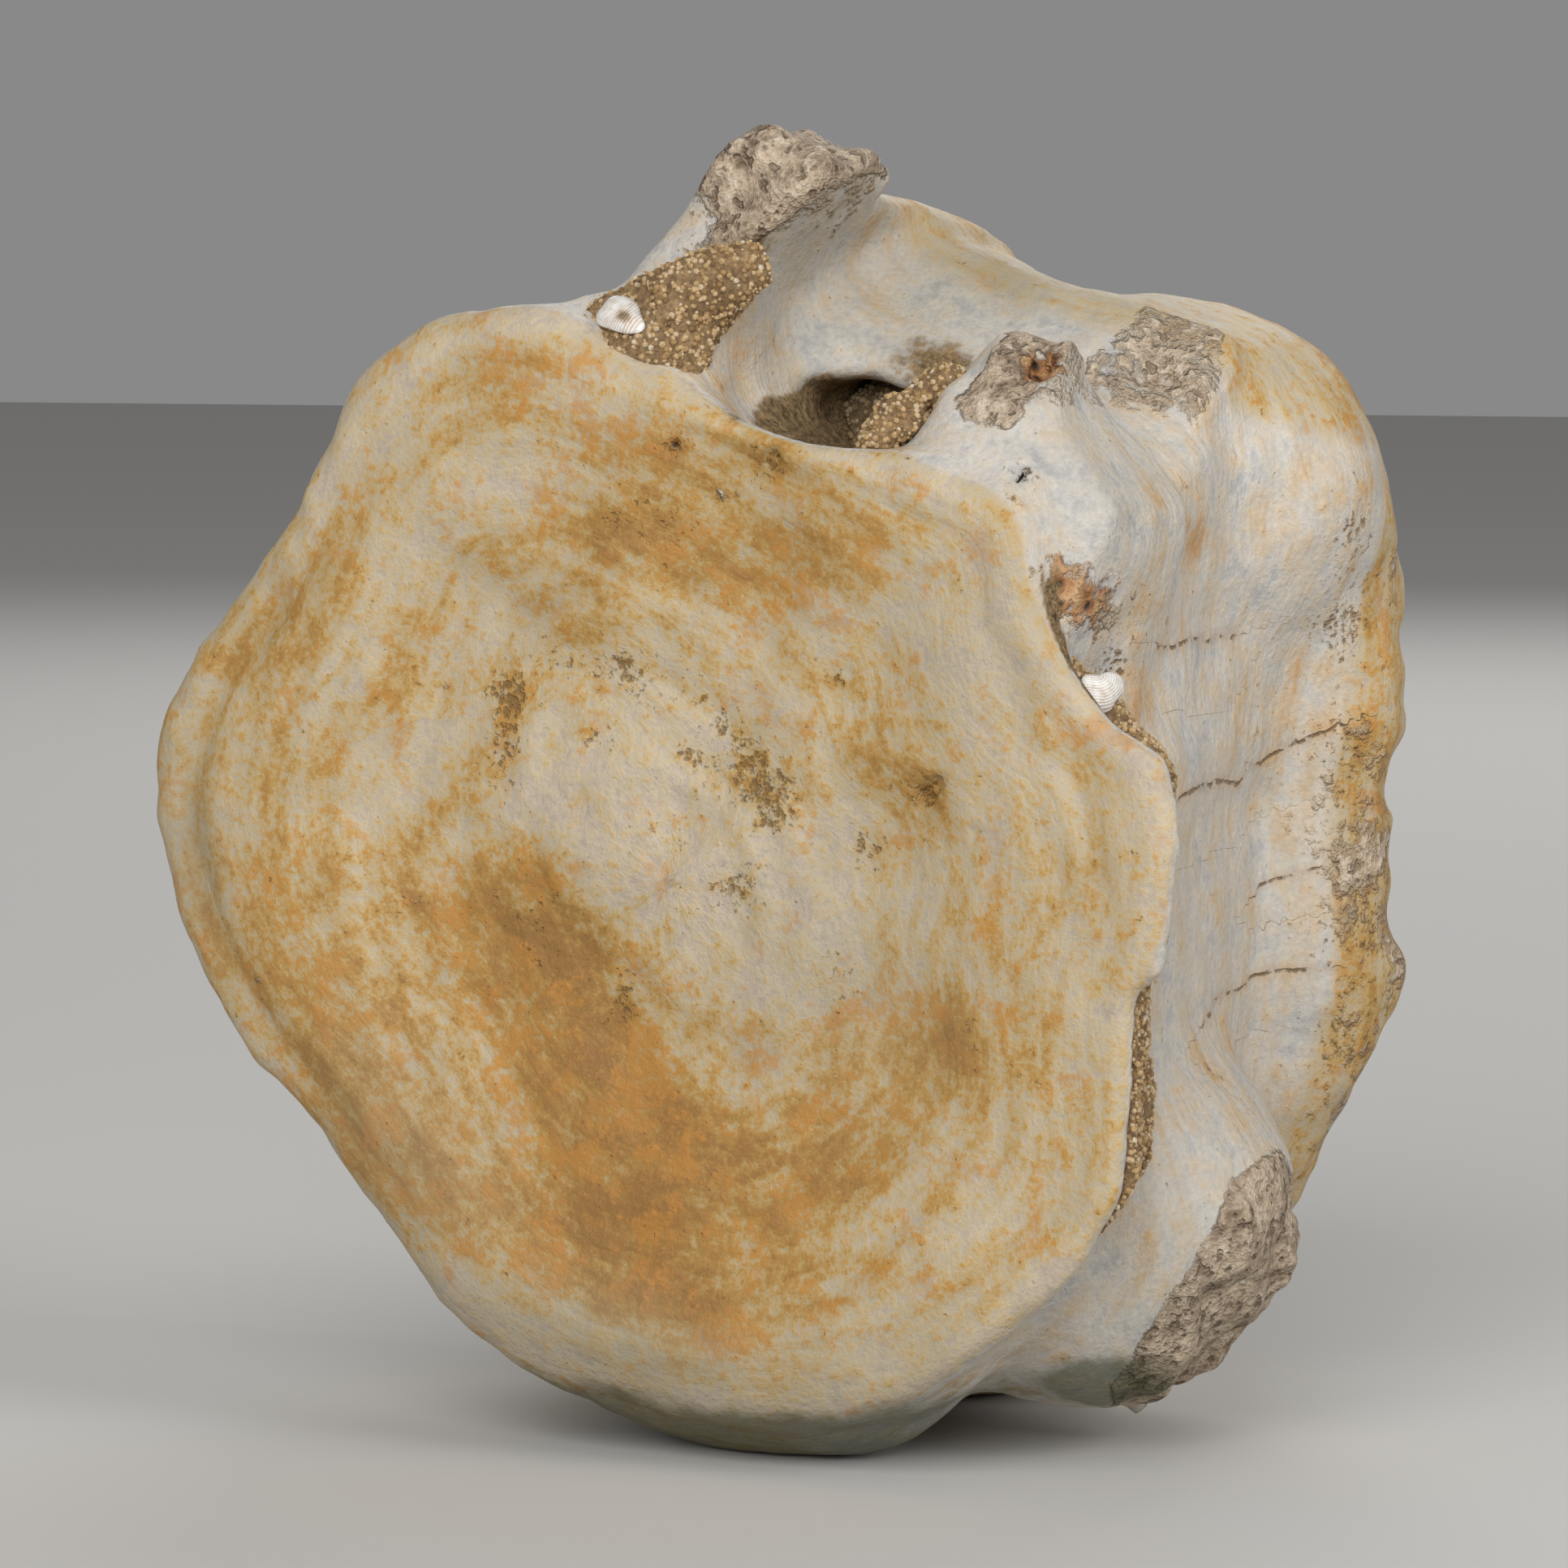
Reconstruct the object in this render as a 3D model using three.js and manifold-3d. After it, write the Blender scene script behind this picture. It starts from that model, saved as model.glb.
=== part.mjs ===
// A fossil neck vertebra of a plesiosaur: the spool-shaped centrum, the broken neural arch that
// stands on it, the stumps of its ribs, the sandy matrix still caught in it and two shell chips.
//
// The bone is described as a field: a function of a point that is negative inside the bone, zero
// on its surface and roughly the distance to it in millimetres outside. Its axes are the bone's:
// u across it, v up through the neural arch and w from the front face to the back face, with
// the origin in the middle of the centrum. The bone lies rolled over to one side, so the part's
// own axes are X across, Y from front to back and Z up, with the origin under the middle of it.
import * as THREE from "three";
import { mergeVertices } from "three/addons/utils/BufferGeometryUtils.js";
import Module from "manifold-3d";

// Driving dimensions, in millimetres and degrees.
const centrumLength = 40;
const roll = 20; // how far the bone leans over to the right, where it stands on its worn flat
const restDepth = 34.9; // from the centrum's middle down to that flat
const boneCell = 2.45; // spacing of the points that carry the bone's facets
const matrixCell = 1.3; // the same for the sandy matrix
const gap = 0.5; // clearance between the matrix and what it lies on

// Rims of the two end faces: [angle from +u towards +v, radius].
const frontRim = [
  [-178, 37.0], [-170, 37.8], [-160, 36.6], [-145, 33.8], [-132, 30.8], [-120, 29.5],
  [-108, 30.0], [-95, 30.8], [-80, 31.2], [-65, 31.8], [-52, 32.8], [-40, 34.0],
  [-28, 34.4], [-17, 35.6], [-9, 35.3], [0, 33.4], [10, 32.4], [18, 33.0],
  [26, 34.0], [34, 34.0], [40, 31.8], [48, 30.0], [56, 30.4], [64, 32.2],
  [74, 30.6], [88, 29.2], [102, 29.4], [112, 30.8], [120, 33.8], [132, 36.8],
  [144, 36.9], [154, 35.0], [166, 34.2], [174, 35.6],
];
const backRim = [
  [-170, 33.0], [-140, 32.0], [-110, 33.2], [-85, 35.0], [-68, 35.6], [-50, 35.2],
  [-30, 33.6], [-14, 32.2], [4, 32.2], [16, 31.7], [28, 31.6], [36, 33.8],
  [44, 35.2], [54, 36.6], [70, 31.5], [90, 29.0], [110, 31.5], [128, 35.2],
  [145, 34.5], [165, 33.2],
];
// How deep the waist lies under the line between the rims: [angle, depth].
const waist = [
  [-170, 4.5], [-130, 3.5], [-100, 1.0], [-75, 0.3], [-55, 0.4], [-40, 1.5],
  [-25, 2.5], [-8, 4.0], [10, 4.8], [30, 5.6], [50, 4.0], [70, 2.5],
  [110, 2.5], [130, 5.0], [150, 5.5],
];

const half = centrumLength / 2;
const radians = THREE.MathUtils.degToRad;
const degrees = THREE.MathUtils.radToDeg;
const { min, max, abs, hypot } = Math;

// ---- Shaping functions

const step = (from, to, x) => {
  const t = min(max((x - from) / (to - from), 0), 1);
  return t * t * (3 - 2 * t);
};
const bell = (x, width) => Math.exp(-((x / width) ** 2));
const turn = (angle, from) => ((((angle - from + 180) % 360) + 360) % 360) - 180;

// Union and intersection of two fields with a fillet of about the given size.
function join(a, b, fillet) {
  const h = max(fillet - abs(a - b), 0) / fillet;
  return min(a, b) - (h * h * fillet) / 4;
}
const cut = (a, b, fillet) => -join(-a, -b, fillet);

// A pseudo-random number from 0 to 1 for each point of a lattice.
function lattice(i, j, k, seed) {
  let h = Math.imul(i, 374761393) + Math.imul(j, 668265263);
  h = (h + Math.imul(k, 1440662683) + Math.imul(seed, 974634777)) >>> 0;
  h = Math.imul(h ^ (h >>> 13), 1274126177) >>> 0;
  h = Math.imul(h ^ (h >>> 16), 2246822519) >>> 0;
  return ((h ^ (h >>> 15)) >>> 0) / 4294967296;
}

// Smooth lumps from -1 to 1, about one to each step of the given size.
function lumps(u, v, w, size, seed) {
  const at = [u, v, w].map((x) => x / size + 500);
  const low = at.map(Math.floor);
  const f = at.map((x, d) => step(0, 1, x - low[d]));
  let sum = 0;
  for (let corner = 0; corner < 8; corner++) {
    const far = [corner & 1, (corner >> 1) & 1, corner >> 2];
    const weight = far.reduce((p, c, d) => p * (c ? f[d] : 1 - f[d]), 1);
    sum += weight * lattice(low[0] + far[0], low[1] + far[1], low[2] + far[2], seed);
  }
  return 2 * sum - 1;
}

// The value at an angle of a closed curve drawn smoothly through [angle, value] points.
function ring(points, angle) {
  const n = points.length;
  const first = points[0][0];
  const a = ((((angle - first) % 360) + 360) % 360) + first;
  let i = n - 1;
  while (points[i][0] > a) i--;
  const next = i + 1 < n ? points[i + 1][0] : first + 360;
  const f = (a - points[i][0]) / (next - points[i][0]);
  const [p0, p1, p2, p3] = [n - 1, 0, 1, 2].map((d) => points[(i + d) % n][1]);
  const bend = 2 * p0 - 5 * p1 + 4 * p2 - p3 + f * (3 * (p1 - p2) + p3 - p0);
  return p1 + 0.5 * f * (p2 - p0 + f * bend);
}

// Broken bone: coarse crystals with a finer crumble on them.
const fracture = (u, v, w, seed) =>
  0.7 * lumps(u, v, w, 4.0, seed) + 0.35 * lumps(u, v, w, 1.9, seed + 1);

// ---- Centrum

// Radius of the centrum's side at an angle and a place along its length.
function sideRadius(u, v, w, angle) {
  const front = ring(frontRim, angle);
  const back = ring(backRim, angle);
  let r = front + (back - front) * step(-half, half, w);
  // the waist drops at once behind the thin right rim, and slowly behind the rolled left one
  const crisp = bell(turn(angle, 22), 34);
  const drop = step(1 - half, 5 + 8 * (1 - crisp) - half, w);
  r -= ring(waist, angle) * drop * (1 - step(8.5, 16.5, w));
  r -= 1.7 * bell(turn(angle, 14), 28) * bell(w + 15.5, 2.4);
  r -= 3.6 * bell(turn(angle, -26), 20) * bell(w + 15.6, 2.3);
  // the flank bulges out under the lower right of the face
  r += 3.4 * bell(turn(angle, -58), 22) * bell(w + 10.5, 6.0);
  r += 1.9 * bell(turn(angle, -86), 20) * bell(w + 9, 6.0);
  // a ridge runs down from the front peak, with a broken hollow between it and the rim
  r += 1.7 * bell(turn(angle, 50), 13) * bell(w + 9.3, 2.0);
  r -= 2.8 * bell(turn(angle, 46), 12) * bell(w + 14.3, 3.4);
  // the rough collar of the back rim
  r += 0.9 * step(10.5, 13.0, w) * bell(turn(angle, 5), 60);
  // nibbled edges
  const nibbled = bell(turn(angle, 20), 45) + 0.8 * bell(turn(angle, 165), 25);
  r += 0.75 * nibbled * bell(w + 19, 3.0) * lumps(u, v, w * 0.3, 4.2, 5);
  r += 0.8 * bell(w - 19, 3.0) * (lumps(u, v, w * 0.4, 4.6, 6) - 0.2);
  return r;
}

// How far the front face is dished, with a low boss in its middle and faint growth rings.
function frontDish(r, u, v, angle) {
  const q = r / ring(frontRim, angle);
  const boss = 0.8 * bell(hypot((u + 1) / 1.3, v - 0.5), 10);
  const wander = 1.6 * Math.sin(2 * radians(angle) + 0.6);
  const rings = 0.25 * Math.sin(r / 2.4 + wander) * step(6, 14, r) * (1 - step(0.84, 0.97, q));
  return 1.9 * (1 - step(0.3, 0.93, q)) - boss + rings;
}

function centrum(u, v, w) {
  const r = hypot(u, v);
  const angle = degrees(Math.atan2(v, u));
  const side = (r - sideRadius(u, v, w, angle)) * 0.8;
  const front = -w - half + frontDish(r, u, v, angle);
  const back = w - half + 1.8 * (1 - step(0.3, 0.95, r / 33));
  const lip = 1.3 + 5 * bell(turn(angle, 195), 70) + 2.4 * bell(turn(angle, -85), 40);
  return cut(cut(side, front, lip), back, 2.6);
}

// ---- Neural arch

// A wall that leans from base to top, both [u, v], and runs from wFront to wBack.
function wall(u, v, w, base, top, thickness, wFront, wBack, fillet) {
  const length = hypot(top[0] - base[0], top[1] - base[1]);
  const du = (top[0] - base[0]) / length;
  const dv = (top[1] - base[1]) / length;
  const up = (u - base[0]) * du + (v - base[1]) * dv;
  const aside = abs((u - base[0]) * dv - (v - base[1]) * du);
  const t = min(max(up / length, 0), 1);
  const faces = aside - (thickness[0] + (thickness[1] - thickness[0]) * t);
  const ends = cut(cut(faces, up - length, fillet), -up, fillet);
  return cut(cut(ends, wFront - w, fillet), w - wBack, fillet);
}

// The left wall leans in over the canal. Its top is broken off, with a step down in it.
function leftWall(u, v, w) {
  const rough = fracture(u, v, w, 11);
  const wFront = -16.2 + 0.14 * (v - 28) + 0.6 * rough * step(30, 34, v);
  const wBack = 17.5 - 0.15 * (v - 28);
  const body = wall(u, v, w, [-15.8, 16], [-9.1, 45], [6.6, 2.9], wFront, wBack, 3.4);
  let top = 43.2 - 3.1 * step(-2.8, -1.2, w) - 0.19 * max(w, 0);
  top += 0.6 * rough * step(0, -3, w) - 0.1 * max(-9.5 - w, 0) ** 2;
  return cut(body, (v - top) * 0.95, 0.8);
}

// The front peak of the right wall, with its broken top turned to the front.
function rightPeak(u, v, w) {
  const wFront = -17.4 + 0.28 * max(v - 29.5, 0);
  const wBack = -5.5 - 0.25 * (v - 30);
  const body = wall(u, v, w, [13.4, 14], [6.9, 39.5], [7.0, 3.3], wFront, wBack, 2.0);
  const top = 37.7 - 0.95 * max(-11.4 - w, 0) - 0.2 * max(w + 11, 0);
  return cut(body, (v - top + 0.7 * fracture(u, v, w, 11)) * 0.72, 0.6);
}

// The rest of the right wall, broken down to a saddle that rises to the rear.
function rightWall(u, v, w) {
  const body = wall(u, v, w, [12.4, 10], [11.4, 38], [6.2, 6.4], -13, 15, 5);
  const top = 35 - 0.28 * (u - 8) + 0.25 * max(w + 3, 0);
  return cut(body, (v - top + 0.6 * fracture(u, v, w, 11)) * 0.8, 2.4);
}

// The rear of the arch closes over the canal. Its front side slopes back: smooth over the
// canal, and broken over the right wall. A rounded lobe stands out from its right side.
function archRear(u, v, w) {
  const smooth = -6 + 1.15 * max(v - 31.5, -2);
  const broken = -3 + 0.9 * max(v - 33, -2) + 1.1 * fracture(u, v, w, 11);
  const wFront = smooth + (broken - smooth) * step(4.5, 7, u);
  const top = 39.5 + 0.6 * step(2, 10, u) - 0.17 * w;
  let block = (abs(u - 3) - 15 + 0.3 * max(v - 30, 0)) * 0.9;
  block = cut(block, (v - top) * 0.95, 2.2);
  block = cut(block, (wFront - w) * 0.7, 1.6);
  block = cut(block, w - 17.2 + 0.1 * max(v - 30, 0), 3);
  block = cut(block, 20 - v, 1);
  const lobe = (hypot((u - 12.2) / 11.7, (v - 29.3) / 10.5, (w - 11) / 10) - 1) * 9.6;
  const lobeFront = (wFront - w) * 0.7 - 2 * step(13, 17, u);
  return [block, cut(lobe, lobeFront, 1)];
}

function neuralArch(u, v, w) {
  const [block, lobe] = archRear(u, v, w);
  const walls = join(join(leftWall(u, v, w), block, 3.5), rightWall(u, v, w), 4);
  return join(join(walls, lobe, 2.4), rightPeak(u, v, w), 1.8);
}

// The neural canal: a tunnel under the arch's rear, open above in front of it.
function canal(u, v, w) {
  const middle = -0.9;
  const across = 5.4 - 0.8 * bell(w - 2, 9) + 1.2 * step(8, 18, w);
  const floor = 25.8 + 2.6 * bell(w + 20, 3) + bell(w - 18, 4);
  const roof = 32.6 + 0.6 * step(6, 18, w);
  const centre = (floor + roof) / 2;
  const high = (roof - floor) / 2;
  const tunnel = (hypot((u - middle) / across, (v - centre) / high) - 1) * min(across, high);
  const up = max(v - 28.5, 0);
  const left = middle - 0.98 * across - 0.9 * up + 0.07 * up ** 2 - u;
  const right = u - middle - 0.98 * across - 0.25 * up;
  let trough = cut(max(left, right) * 0.8, centre - v, 2);
  trough = cut(trough, (w + 6.6 - 1.15 * (v - 31.5)) * 0.7, 2);
  return join(tunnel, trough, 1);
}

// ---- Rib stumps and vessel holes

// A broken rib stump, on the right (side 1) or the left (side -1).
function ribStump(u, v, w, side) {
  const out = u * side;
  let stump = (hypot((out - 26) / 12.2, (v + 12.5) / 12, (w + 0.5) / 12.5) - 1) * 10.5;
  if (side > 0) stump = join(stump, splinter(out, v, w), 1.6);
  const seed = side > 0 ? 31 : 37;
  const reach = side > 0 ? 39.4 : 37.4;
  const crumble = 0.9 * lumps(u * side, v, w, 4.4, seed) + 0.4 * lumps(u * side, v, w, 2, seed + 1);
  return cut(stump, out * 0.955 - v * 0.296 - reach + crumble, 0.7);
}

// A splinter of the right stump that points down and out.
function splinter(u, v, w) {
  const along = min(max((u - 27) * 0.4 - (v + 13) * 0.917, 0), 11.6);
  const du = u - 27 - 0.4 * along;
  const dv = v + 13 + 0.917 * along;
  return hypot(du * 1.1, dv, (w - 3) * 0.66) - (6.6 - 0.5 * along);
}

// One of the pair of vessel holes in the underside.
function vesselHole(u, v, w, angle) {
  const a = radians(angle);
  const across = v * Math.cos(a) - u * Math.sin(a);
  const depth = u * Math.cos(a) + v * Math.sin(a);
  return (hypot(across / 1.5, (w - 1) / 2.3, (depth - 34) / 3) - 1) * 1.6;
}

function vertebra(u, v, w) {
  let bone = centrum(u, v, w);
  bone = join(bone, ribStump(u, v, w, 1), 2.4);
  bone = join(bone, ribStump(u, v, w, -1), 2.4);
  bone = join(bone, neuralArch(u, v, w), 5);
  bone = cut(bone, -canal(u, v, w), 1.4);
  for (const angle of [-100, -126]) bone = cut(bone, -vesselHole(u, v, w, angle), 0.6);
  return bone - 0.32 * lumps(u, v, w, 11, 1) - 0.14 * lumps(u, v, w, 4.6, 2);
}

// ---- Matrix and shell

// A chain of balls [u, v, w, radius] run together.
function balls(list, u, v, w, fillet) {
  const each = list.map(([a, b, c, r]) => hypot(u - a, v - b, w - c) - r);
  return each.reduce((sum, ball) => join(sum, ball, fillet));
}

// The shell chips: centre and the way the flat side faces, both in the bone's axes.
const cornerChip = {
  centre: [-14.3, 31.1, -18.6],
  facing: [-0.25, 0.45, -0.86],
  size: [3.2, 1.9, 0.8],
};
const rimChip = {
  centre: [21.8, 20.7, -16.0],
  facing: [0.62, 0.62, -0.48],
  size: [2.0, 2.8, 0.8],
};

// Room left in the matrix for a shell chip that lies on it.
function chipRoom({ centre, facing, size }, u, v, w) {
  const [a, b, c] = [u - centre[0], v - centre[1], w - centre[2]];
  const above = a * facing[0] + b * facing[1] + c * facing[2];
  return max(hypot(a, b, c) - size[1] - 0.5, -0.5 * size[2] - 0.4 - above);
}

const crumb = (u, v, w) => 0.35 * lumps(u, v, w, 2.6, 51);

// Matrix in the corner between the front face and the foot of the left wall.
const cornerBalls = [
  [-16.6, 29.6, -16.6, 1.9], [-12.8, 31.2, -16.4, 3.2], [-9.6, 30.2, -16.0, 2.7],
  [-10.2, 34.6, -14.8, 2.4],
];
function cornerMatrix(u, v, w) {
  const body = balls(cornerBalls, u, v, w, 2.5) + crumb(u, v, w);
  const clear = max(gap - vertebra(u, v, w), -chipRoom(cornerChip, u, v, w));
  return max(body, clear, -18.6 - w);
}

// Matrix that plugs the canal's tunnel, with a crust forward along the right side.
const crustBalls = [
  [4.3, 30.6, -16.4, 1.5], [3.9, 31.8, -13.2, 1.8], [3.3, 31.6, -9.8, 2.0],
  [2.6, 30.2, -6.4, 2.3], [2.0, 29.6, -2.6, 2.6],
];
function canalMatrix(u, v, w) {
  const plug = max(canal(u, v, w), -3.5 + 0.5 * (v - 29) - w, w - 15);
  const crust = balls(crustBalls, u, v, w, 2);
  return max(join(plug, crust, 1.5) + crumb(u, v, w), gap - vertebra(u, v, w));
}

// Matrix caught in the crevice behind the right edge of the front face.
function rimMatrix(u, v, w) {
  const angle = degrees(Math.atan2(v, u));
  const low = 0.5 * bell(turn(angle, -26), 24);
  const thin = 0.9 * bell(turn(angle, 27), 7) - 0.9 * bell(turn(angle, 44), 11) - low;
  const outer = ring(frontRim, angle) - 0.9 - thin - 0.33 * (w + 18);
  const ends = (abs(turn(angle, 4)) - 48) * 0.5;
  const body = max(hypot(u, v) - outer + crumb(u, v, w), ends, -18.2 - w, w + 10.5);
  return max(body, gap + 0.3 - vertebra(u, v, w), -chipRoom(rimChip, u, v, w));
}

// ---- Facets

// The closed surface where a field is zero, inside a box of cells: one point in each cell that
// the surface passes through, drawn onto the surface but held inside its cell, and a facet
// across each edge that the surface cuts.
// The bone's axes are left-handed, so a facet that faces out is listed the other way round.
function skin(field, low, high, cell) {
  const count = low.map((a, d) => Math.ceil((high[d] - a) / cell) + 1);
  const index = (i, j, k) => (i * count[1] + j) * count[2] + k;
  const value = new Float64Array(count[0] * count[1] * count[2]);
  const place = (i, j, k) => [low[0] + i * cell, low[1] + j * cell, low[2] + k * cell];
  eachCell(count, (i, j, k) => (value[index(i, j, k)] = field(...place(i, j, k))));
  unpinch(value, count, index);
  const corners = [...Array(8).keys()].map((c) => [c & 1, (c >> 1) & 1, c >> 2]);
  const points = [];
  const pointOf = new Map();
  eachCell(count.map((n) => n - 1), (i, j, k) => {
    const sum = [0, 0, 0];
    let crossings = 0;
    for (const a of corners)
      for (let d = 0; d < 3; d++) {
        if (a[d]) continue;
        const fa = value[index(i + a[0], j + a[1], k + a[2])];
        const b = a.map((x, e) => (e === d ? 1 : x));
        const fb = value[index(i + b[0], j + b[1], k + b[2])];
        if (fa < 0 === fb < 0) continue;
        crossings++;
        for (let e = 0; e < 3; e++) sum[e] += a[e] + (e === d ? fa / (fa - fb) : 0);
      }
    if (!crossings) return;
    const start = place(i, j, k).map((x, e) => x + (sum[e] / crossings) * cell);
    pointOf.set(index(i, j, k), points.length);
    const least = place(i, j, k);
    const held = (x, d) => min(max(x, least[d] + 0.05 * cell), least[d] + 0.95 * cell);
    points.push(drawOn(field, start, cell).map(held));
  });
  const faces = [];
  eachCell(count, (i, j, k) => {
    const at = [i, j, k];
    for (let d = 0; d < 3; d++) {
      const [e, f] = [(d + 1) % 3, (d + 2) % 3];
      if (at[d] + 1 >= count[d] || !at[e] || !at[f]) continue;
      const far = at.map((x, g) => (g === d ? x + 1 : x));
      const inside = value[index(...at)] < 0;
      if (inside === value[index(...far)] < 0) continue;
      const around = [[1, 1], [0, 1], [0, 0], [1, 0]].map(([a, b]) => {
        const c = [...at];
        c[e] -= a;
        c[f] -= b;
        return pointOf.get(index(...c));
      });
      faces.push(...twoTriangles(inside ? around.reverse() : around, points));
    }
  });
  return { points, faces };
}

// Where the corners of a cell's face lie by turns inside and outside, two sheets of the surface
// would meet along one edge: the inside corner nearest to the surface is put outside.
function unpinch(value, count, index) {
  let pinched = false;
  eachCell(count, (...at) => {
    for (const [d, e] of [[0, 1], [1, 2], [2, 0]]) {
      if (at[d] + 1 >= count[d] || at[e] + 1 >= count[e]) continue;
      const corners = [[0, 0], [1, 0], [1, 1], [0, 1]].map(([a, b]) => {
        const c = [...at];
        c[d] += a;
        c[e] += b;
        return index(...c);
      });
      const inside = corners.filter((c) => value[c] < 0);
      const opposite = value[corners[0]] < 0 === value[corners[2]] < 0;
      if (inside.length !== 2 || !opposite) continue;
      const [a, b] = inside;
      value[value[a] > value[b] ? a : b] = 0.01;
      pinched = true;
    }
  });
  if (pinched) unpinch(value, count, index);
}

function eachCell(count, visit) {
  for (let i = 0; i < count[0]; i++)
    for (let j = 0; j < count[1]; j++)
      for (let k = 0; k < count[2]; k++) visit(i, j, k);
}

// Moves a point along the field's slope onto the surface, by less than half a cell a time.
function drawOn(field, start, cell) {
  const p = [...start];
  const e = 0.05;
  for (let pass = 0; pass < 2; pass++) {
    const slope = [0, 1, 2].map((d) => {
      const [a, b] = [-e, e].map((x) => field(...p.map((y, g) => (g === d ? y + x : y))));
      return (b - a) / (2 * e);
    });
    const steep = max(slope.reduce((s, x) => s + x * x, 0), 0.05);
    const move = slope.map((x) => (-field(...p) * x) / steep);
    const limit = min(1, (0.4 * cell) / max(hypot(...move), 1e-9));
    move.forEach((x, d) => (p[d] += x * limit));
  }
  return p;
}

// Splits a four-sided facet along its shorter diagonal.
function twoTriangles([a, b, c, d], points) {
  const span = (p, q) => hypot(...points[p].map((x, e) => x - points[q][e]));
  if (span(a, c) < span(b, d)) return [a, b, c, a, c, d];
  return [a, b, d, b, c, d];
}

// ---- Solids

const wasm = await Module();
wasm.setup();

// From the bone's axes to axes that stand on the worn flat.
const tilt = { cos: Math.cos(radians(roll)), sin: Math.sin(radians(roll)) };
const stand = ([u, v, w]) => [
  u * tilt.cos + v * tilt.sin,
  w,
  v * tilt.cos - u * tilt.sin + restDepth,
];

function geometryOf({ points, faces }) {
  const geometry = new THREE.BufferGeometry();
  const position = new Float32Array(points.map(stand).flat());
  geometry.setAttribute("position", new THREE.BufferAttribute(position, 3));
  return geometry.setIndex(faces);
}

function solidOf(geometry) {
  const vertProperties = geometry.getAttribute("position").array;
  const triVerts = new Uint32Array(geometry.index.array);
  return new wasm.Manifold(new wasm.Mesh({ numProp: 3, vertProperties, triVerts }));
}

function geometryFrom(solid) {
  const mesh = solid.getMesh();
  const geometry = new THREE.BufferGeometry();
  geometry.setAttribute("position", new THREE.BufferAttribute(mesh.vertProperties, 3));
  return geometry.setIndex([...mesh.triVerts]);
}

// The bone is worn off level underneath, where it stands.
function wornFlat(geometry) {
  const ground = new THREE.BoxGeometry(120, 120, 20).translate(0, 0, -10);
  ground.deleteAttribute("normal");
  ground.deleteAttribute("uv");
  return geometryFrom(solidOf(geometry).subtract(solidOf(mergeVertices(ground))));
}

// A flake of shell: an uneven outline, slightly thick.
function flake({ centre, facing, size }) {
  const [length, width, thickness] = size;
  const outline = [
    [-0.5, -0.2], [-0.28, -0.46], [0.12, -0.5], [0.44, -0.32], [0.5, 0.12],
    [0.26, 0.46], [-0.1, 0.5], [-0.42, 0.26],
  ];
  const shape = new THREE.Shape(outline.map(([x, y]) => new THREE.Vector2(x * length, y * width)));
  const geometry = new THREE.ExtrudeGeometry(shape, { depth: thickness, bevelEnabled: false });
  geometry.translate(0, 0, -thickness / 2);
  const tip = stand(facing.map((x, d) => x + centre[d]));
  const normal = new THREE.Vector3(...tip).sub(new THREE.Vector3(...stand(centre))).normalize();
  const turnUp = new THREE.Quaternion().setFromUnitVectors(new THREE.Vector3(0, 0, 1), normal);
  return geometry.applyQuaternion(turnUp).translate(...stand(centre));
}

const finishes = {
  bone: { color: 0xcdbfa6, roughness: 0.72, metalness: 0 },
  matrix: { color: 0x8c7450, roughness: 0.95, metalness: 0 },
  shell: { color: 0xf1ece4, roughness: 0.35, metalness: 0 },
};

function part(name, geometry, finish) {
  const mesh = new THREE.Mesh(geometry, new THREE.MeshStandardMaterial(finishes[finish]));
  mesh.name = name;
  return mesh;
}

const bone = wornFlat(geometryOf(skin(vertebra, [-42, -42, -24], [42, 48, 25], boneCell)));

// The largest body of a geometry: crumbs that hang free of it, or touch it only along an edge
// that the welding tells apart, are left out.
function largestBody(geometry) {
  const bodies = solidOf(mergeVertices(geometry, 1e-3)).decompose();
  return geometryFrom(bodies.reduce((a, b) => (b.volume() > a.volume() ? b : a)));
}

function matrix(field, low, high) {
  return largestBody(largestBody(geometryOf(skin(field, low, high, matrixCell))));
}

const specimen = new THREE.Group();
specimen.add(part("vertebra", bone, "bone"));
specimen.add(
  part("corner_sediment", matrix(cornerMatrix, [-21, 25, -21], [-4, 40, -9]), "matrix"),
);
specimen.add(
  part("canal_sediment", matrix(canalMatrix, [-9, 22, -20], [9, 37, 18]), "matrix"),
);
specimen.add(
  part("rim_sediment", matrix(rimMatrix, [16, -30, -20], [38, 32, -8]), "matrix"),
);
specimen.add(part("corner_shell_chip", flake(cornerChip), "shell"));
specimen.add(part("rim_shell_chip", flake(rimChip), "shell"));

// The origin is under the middle of the bone.
bone.computeBoundingBox();
const middle = bone.boundingBox.getCenter(new THREE.Vector3());
specimen.position.set(-middle.x, -middle.y, 0);

export default specimen;
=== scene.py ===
import math

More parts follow.
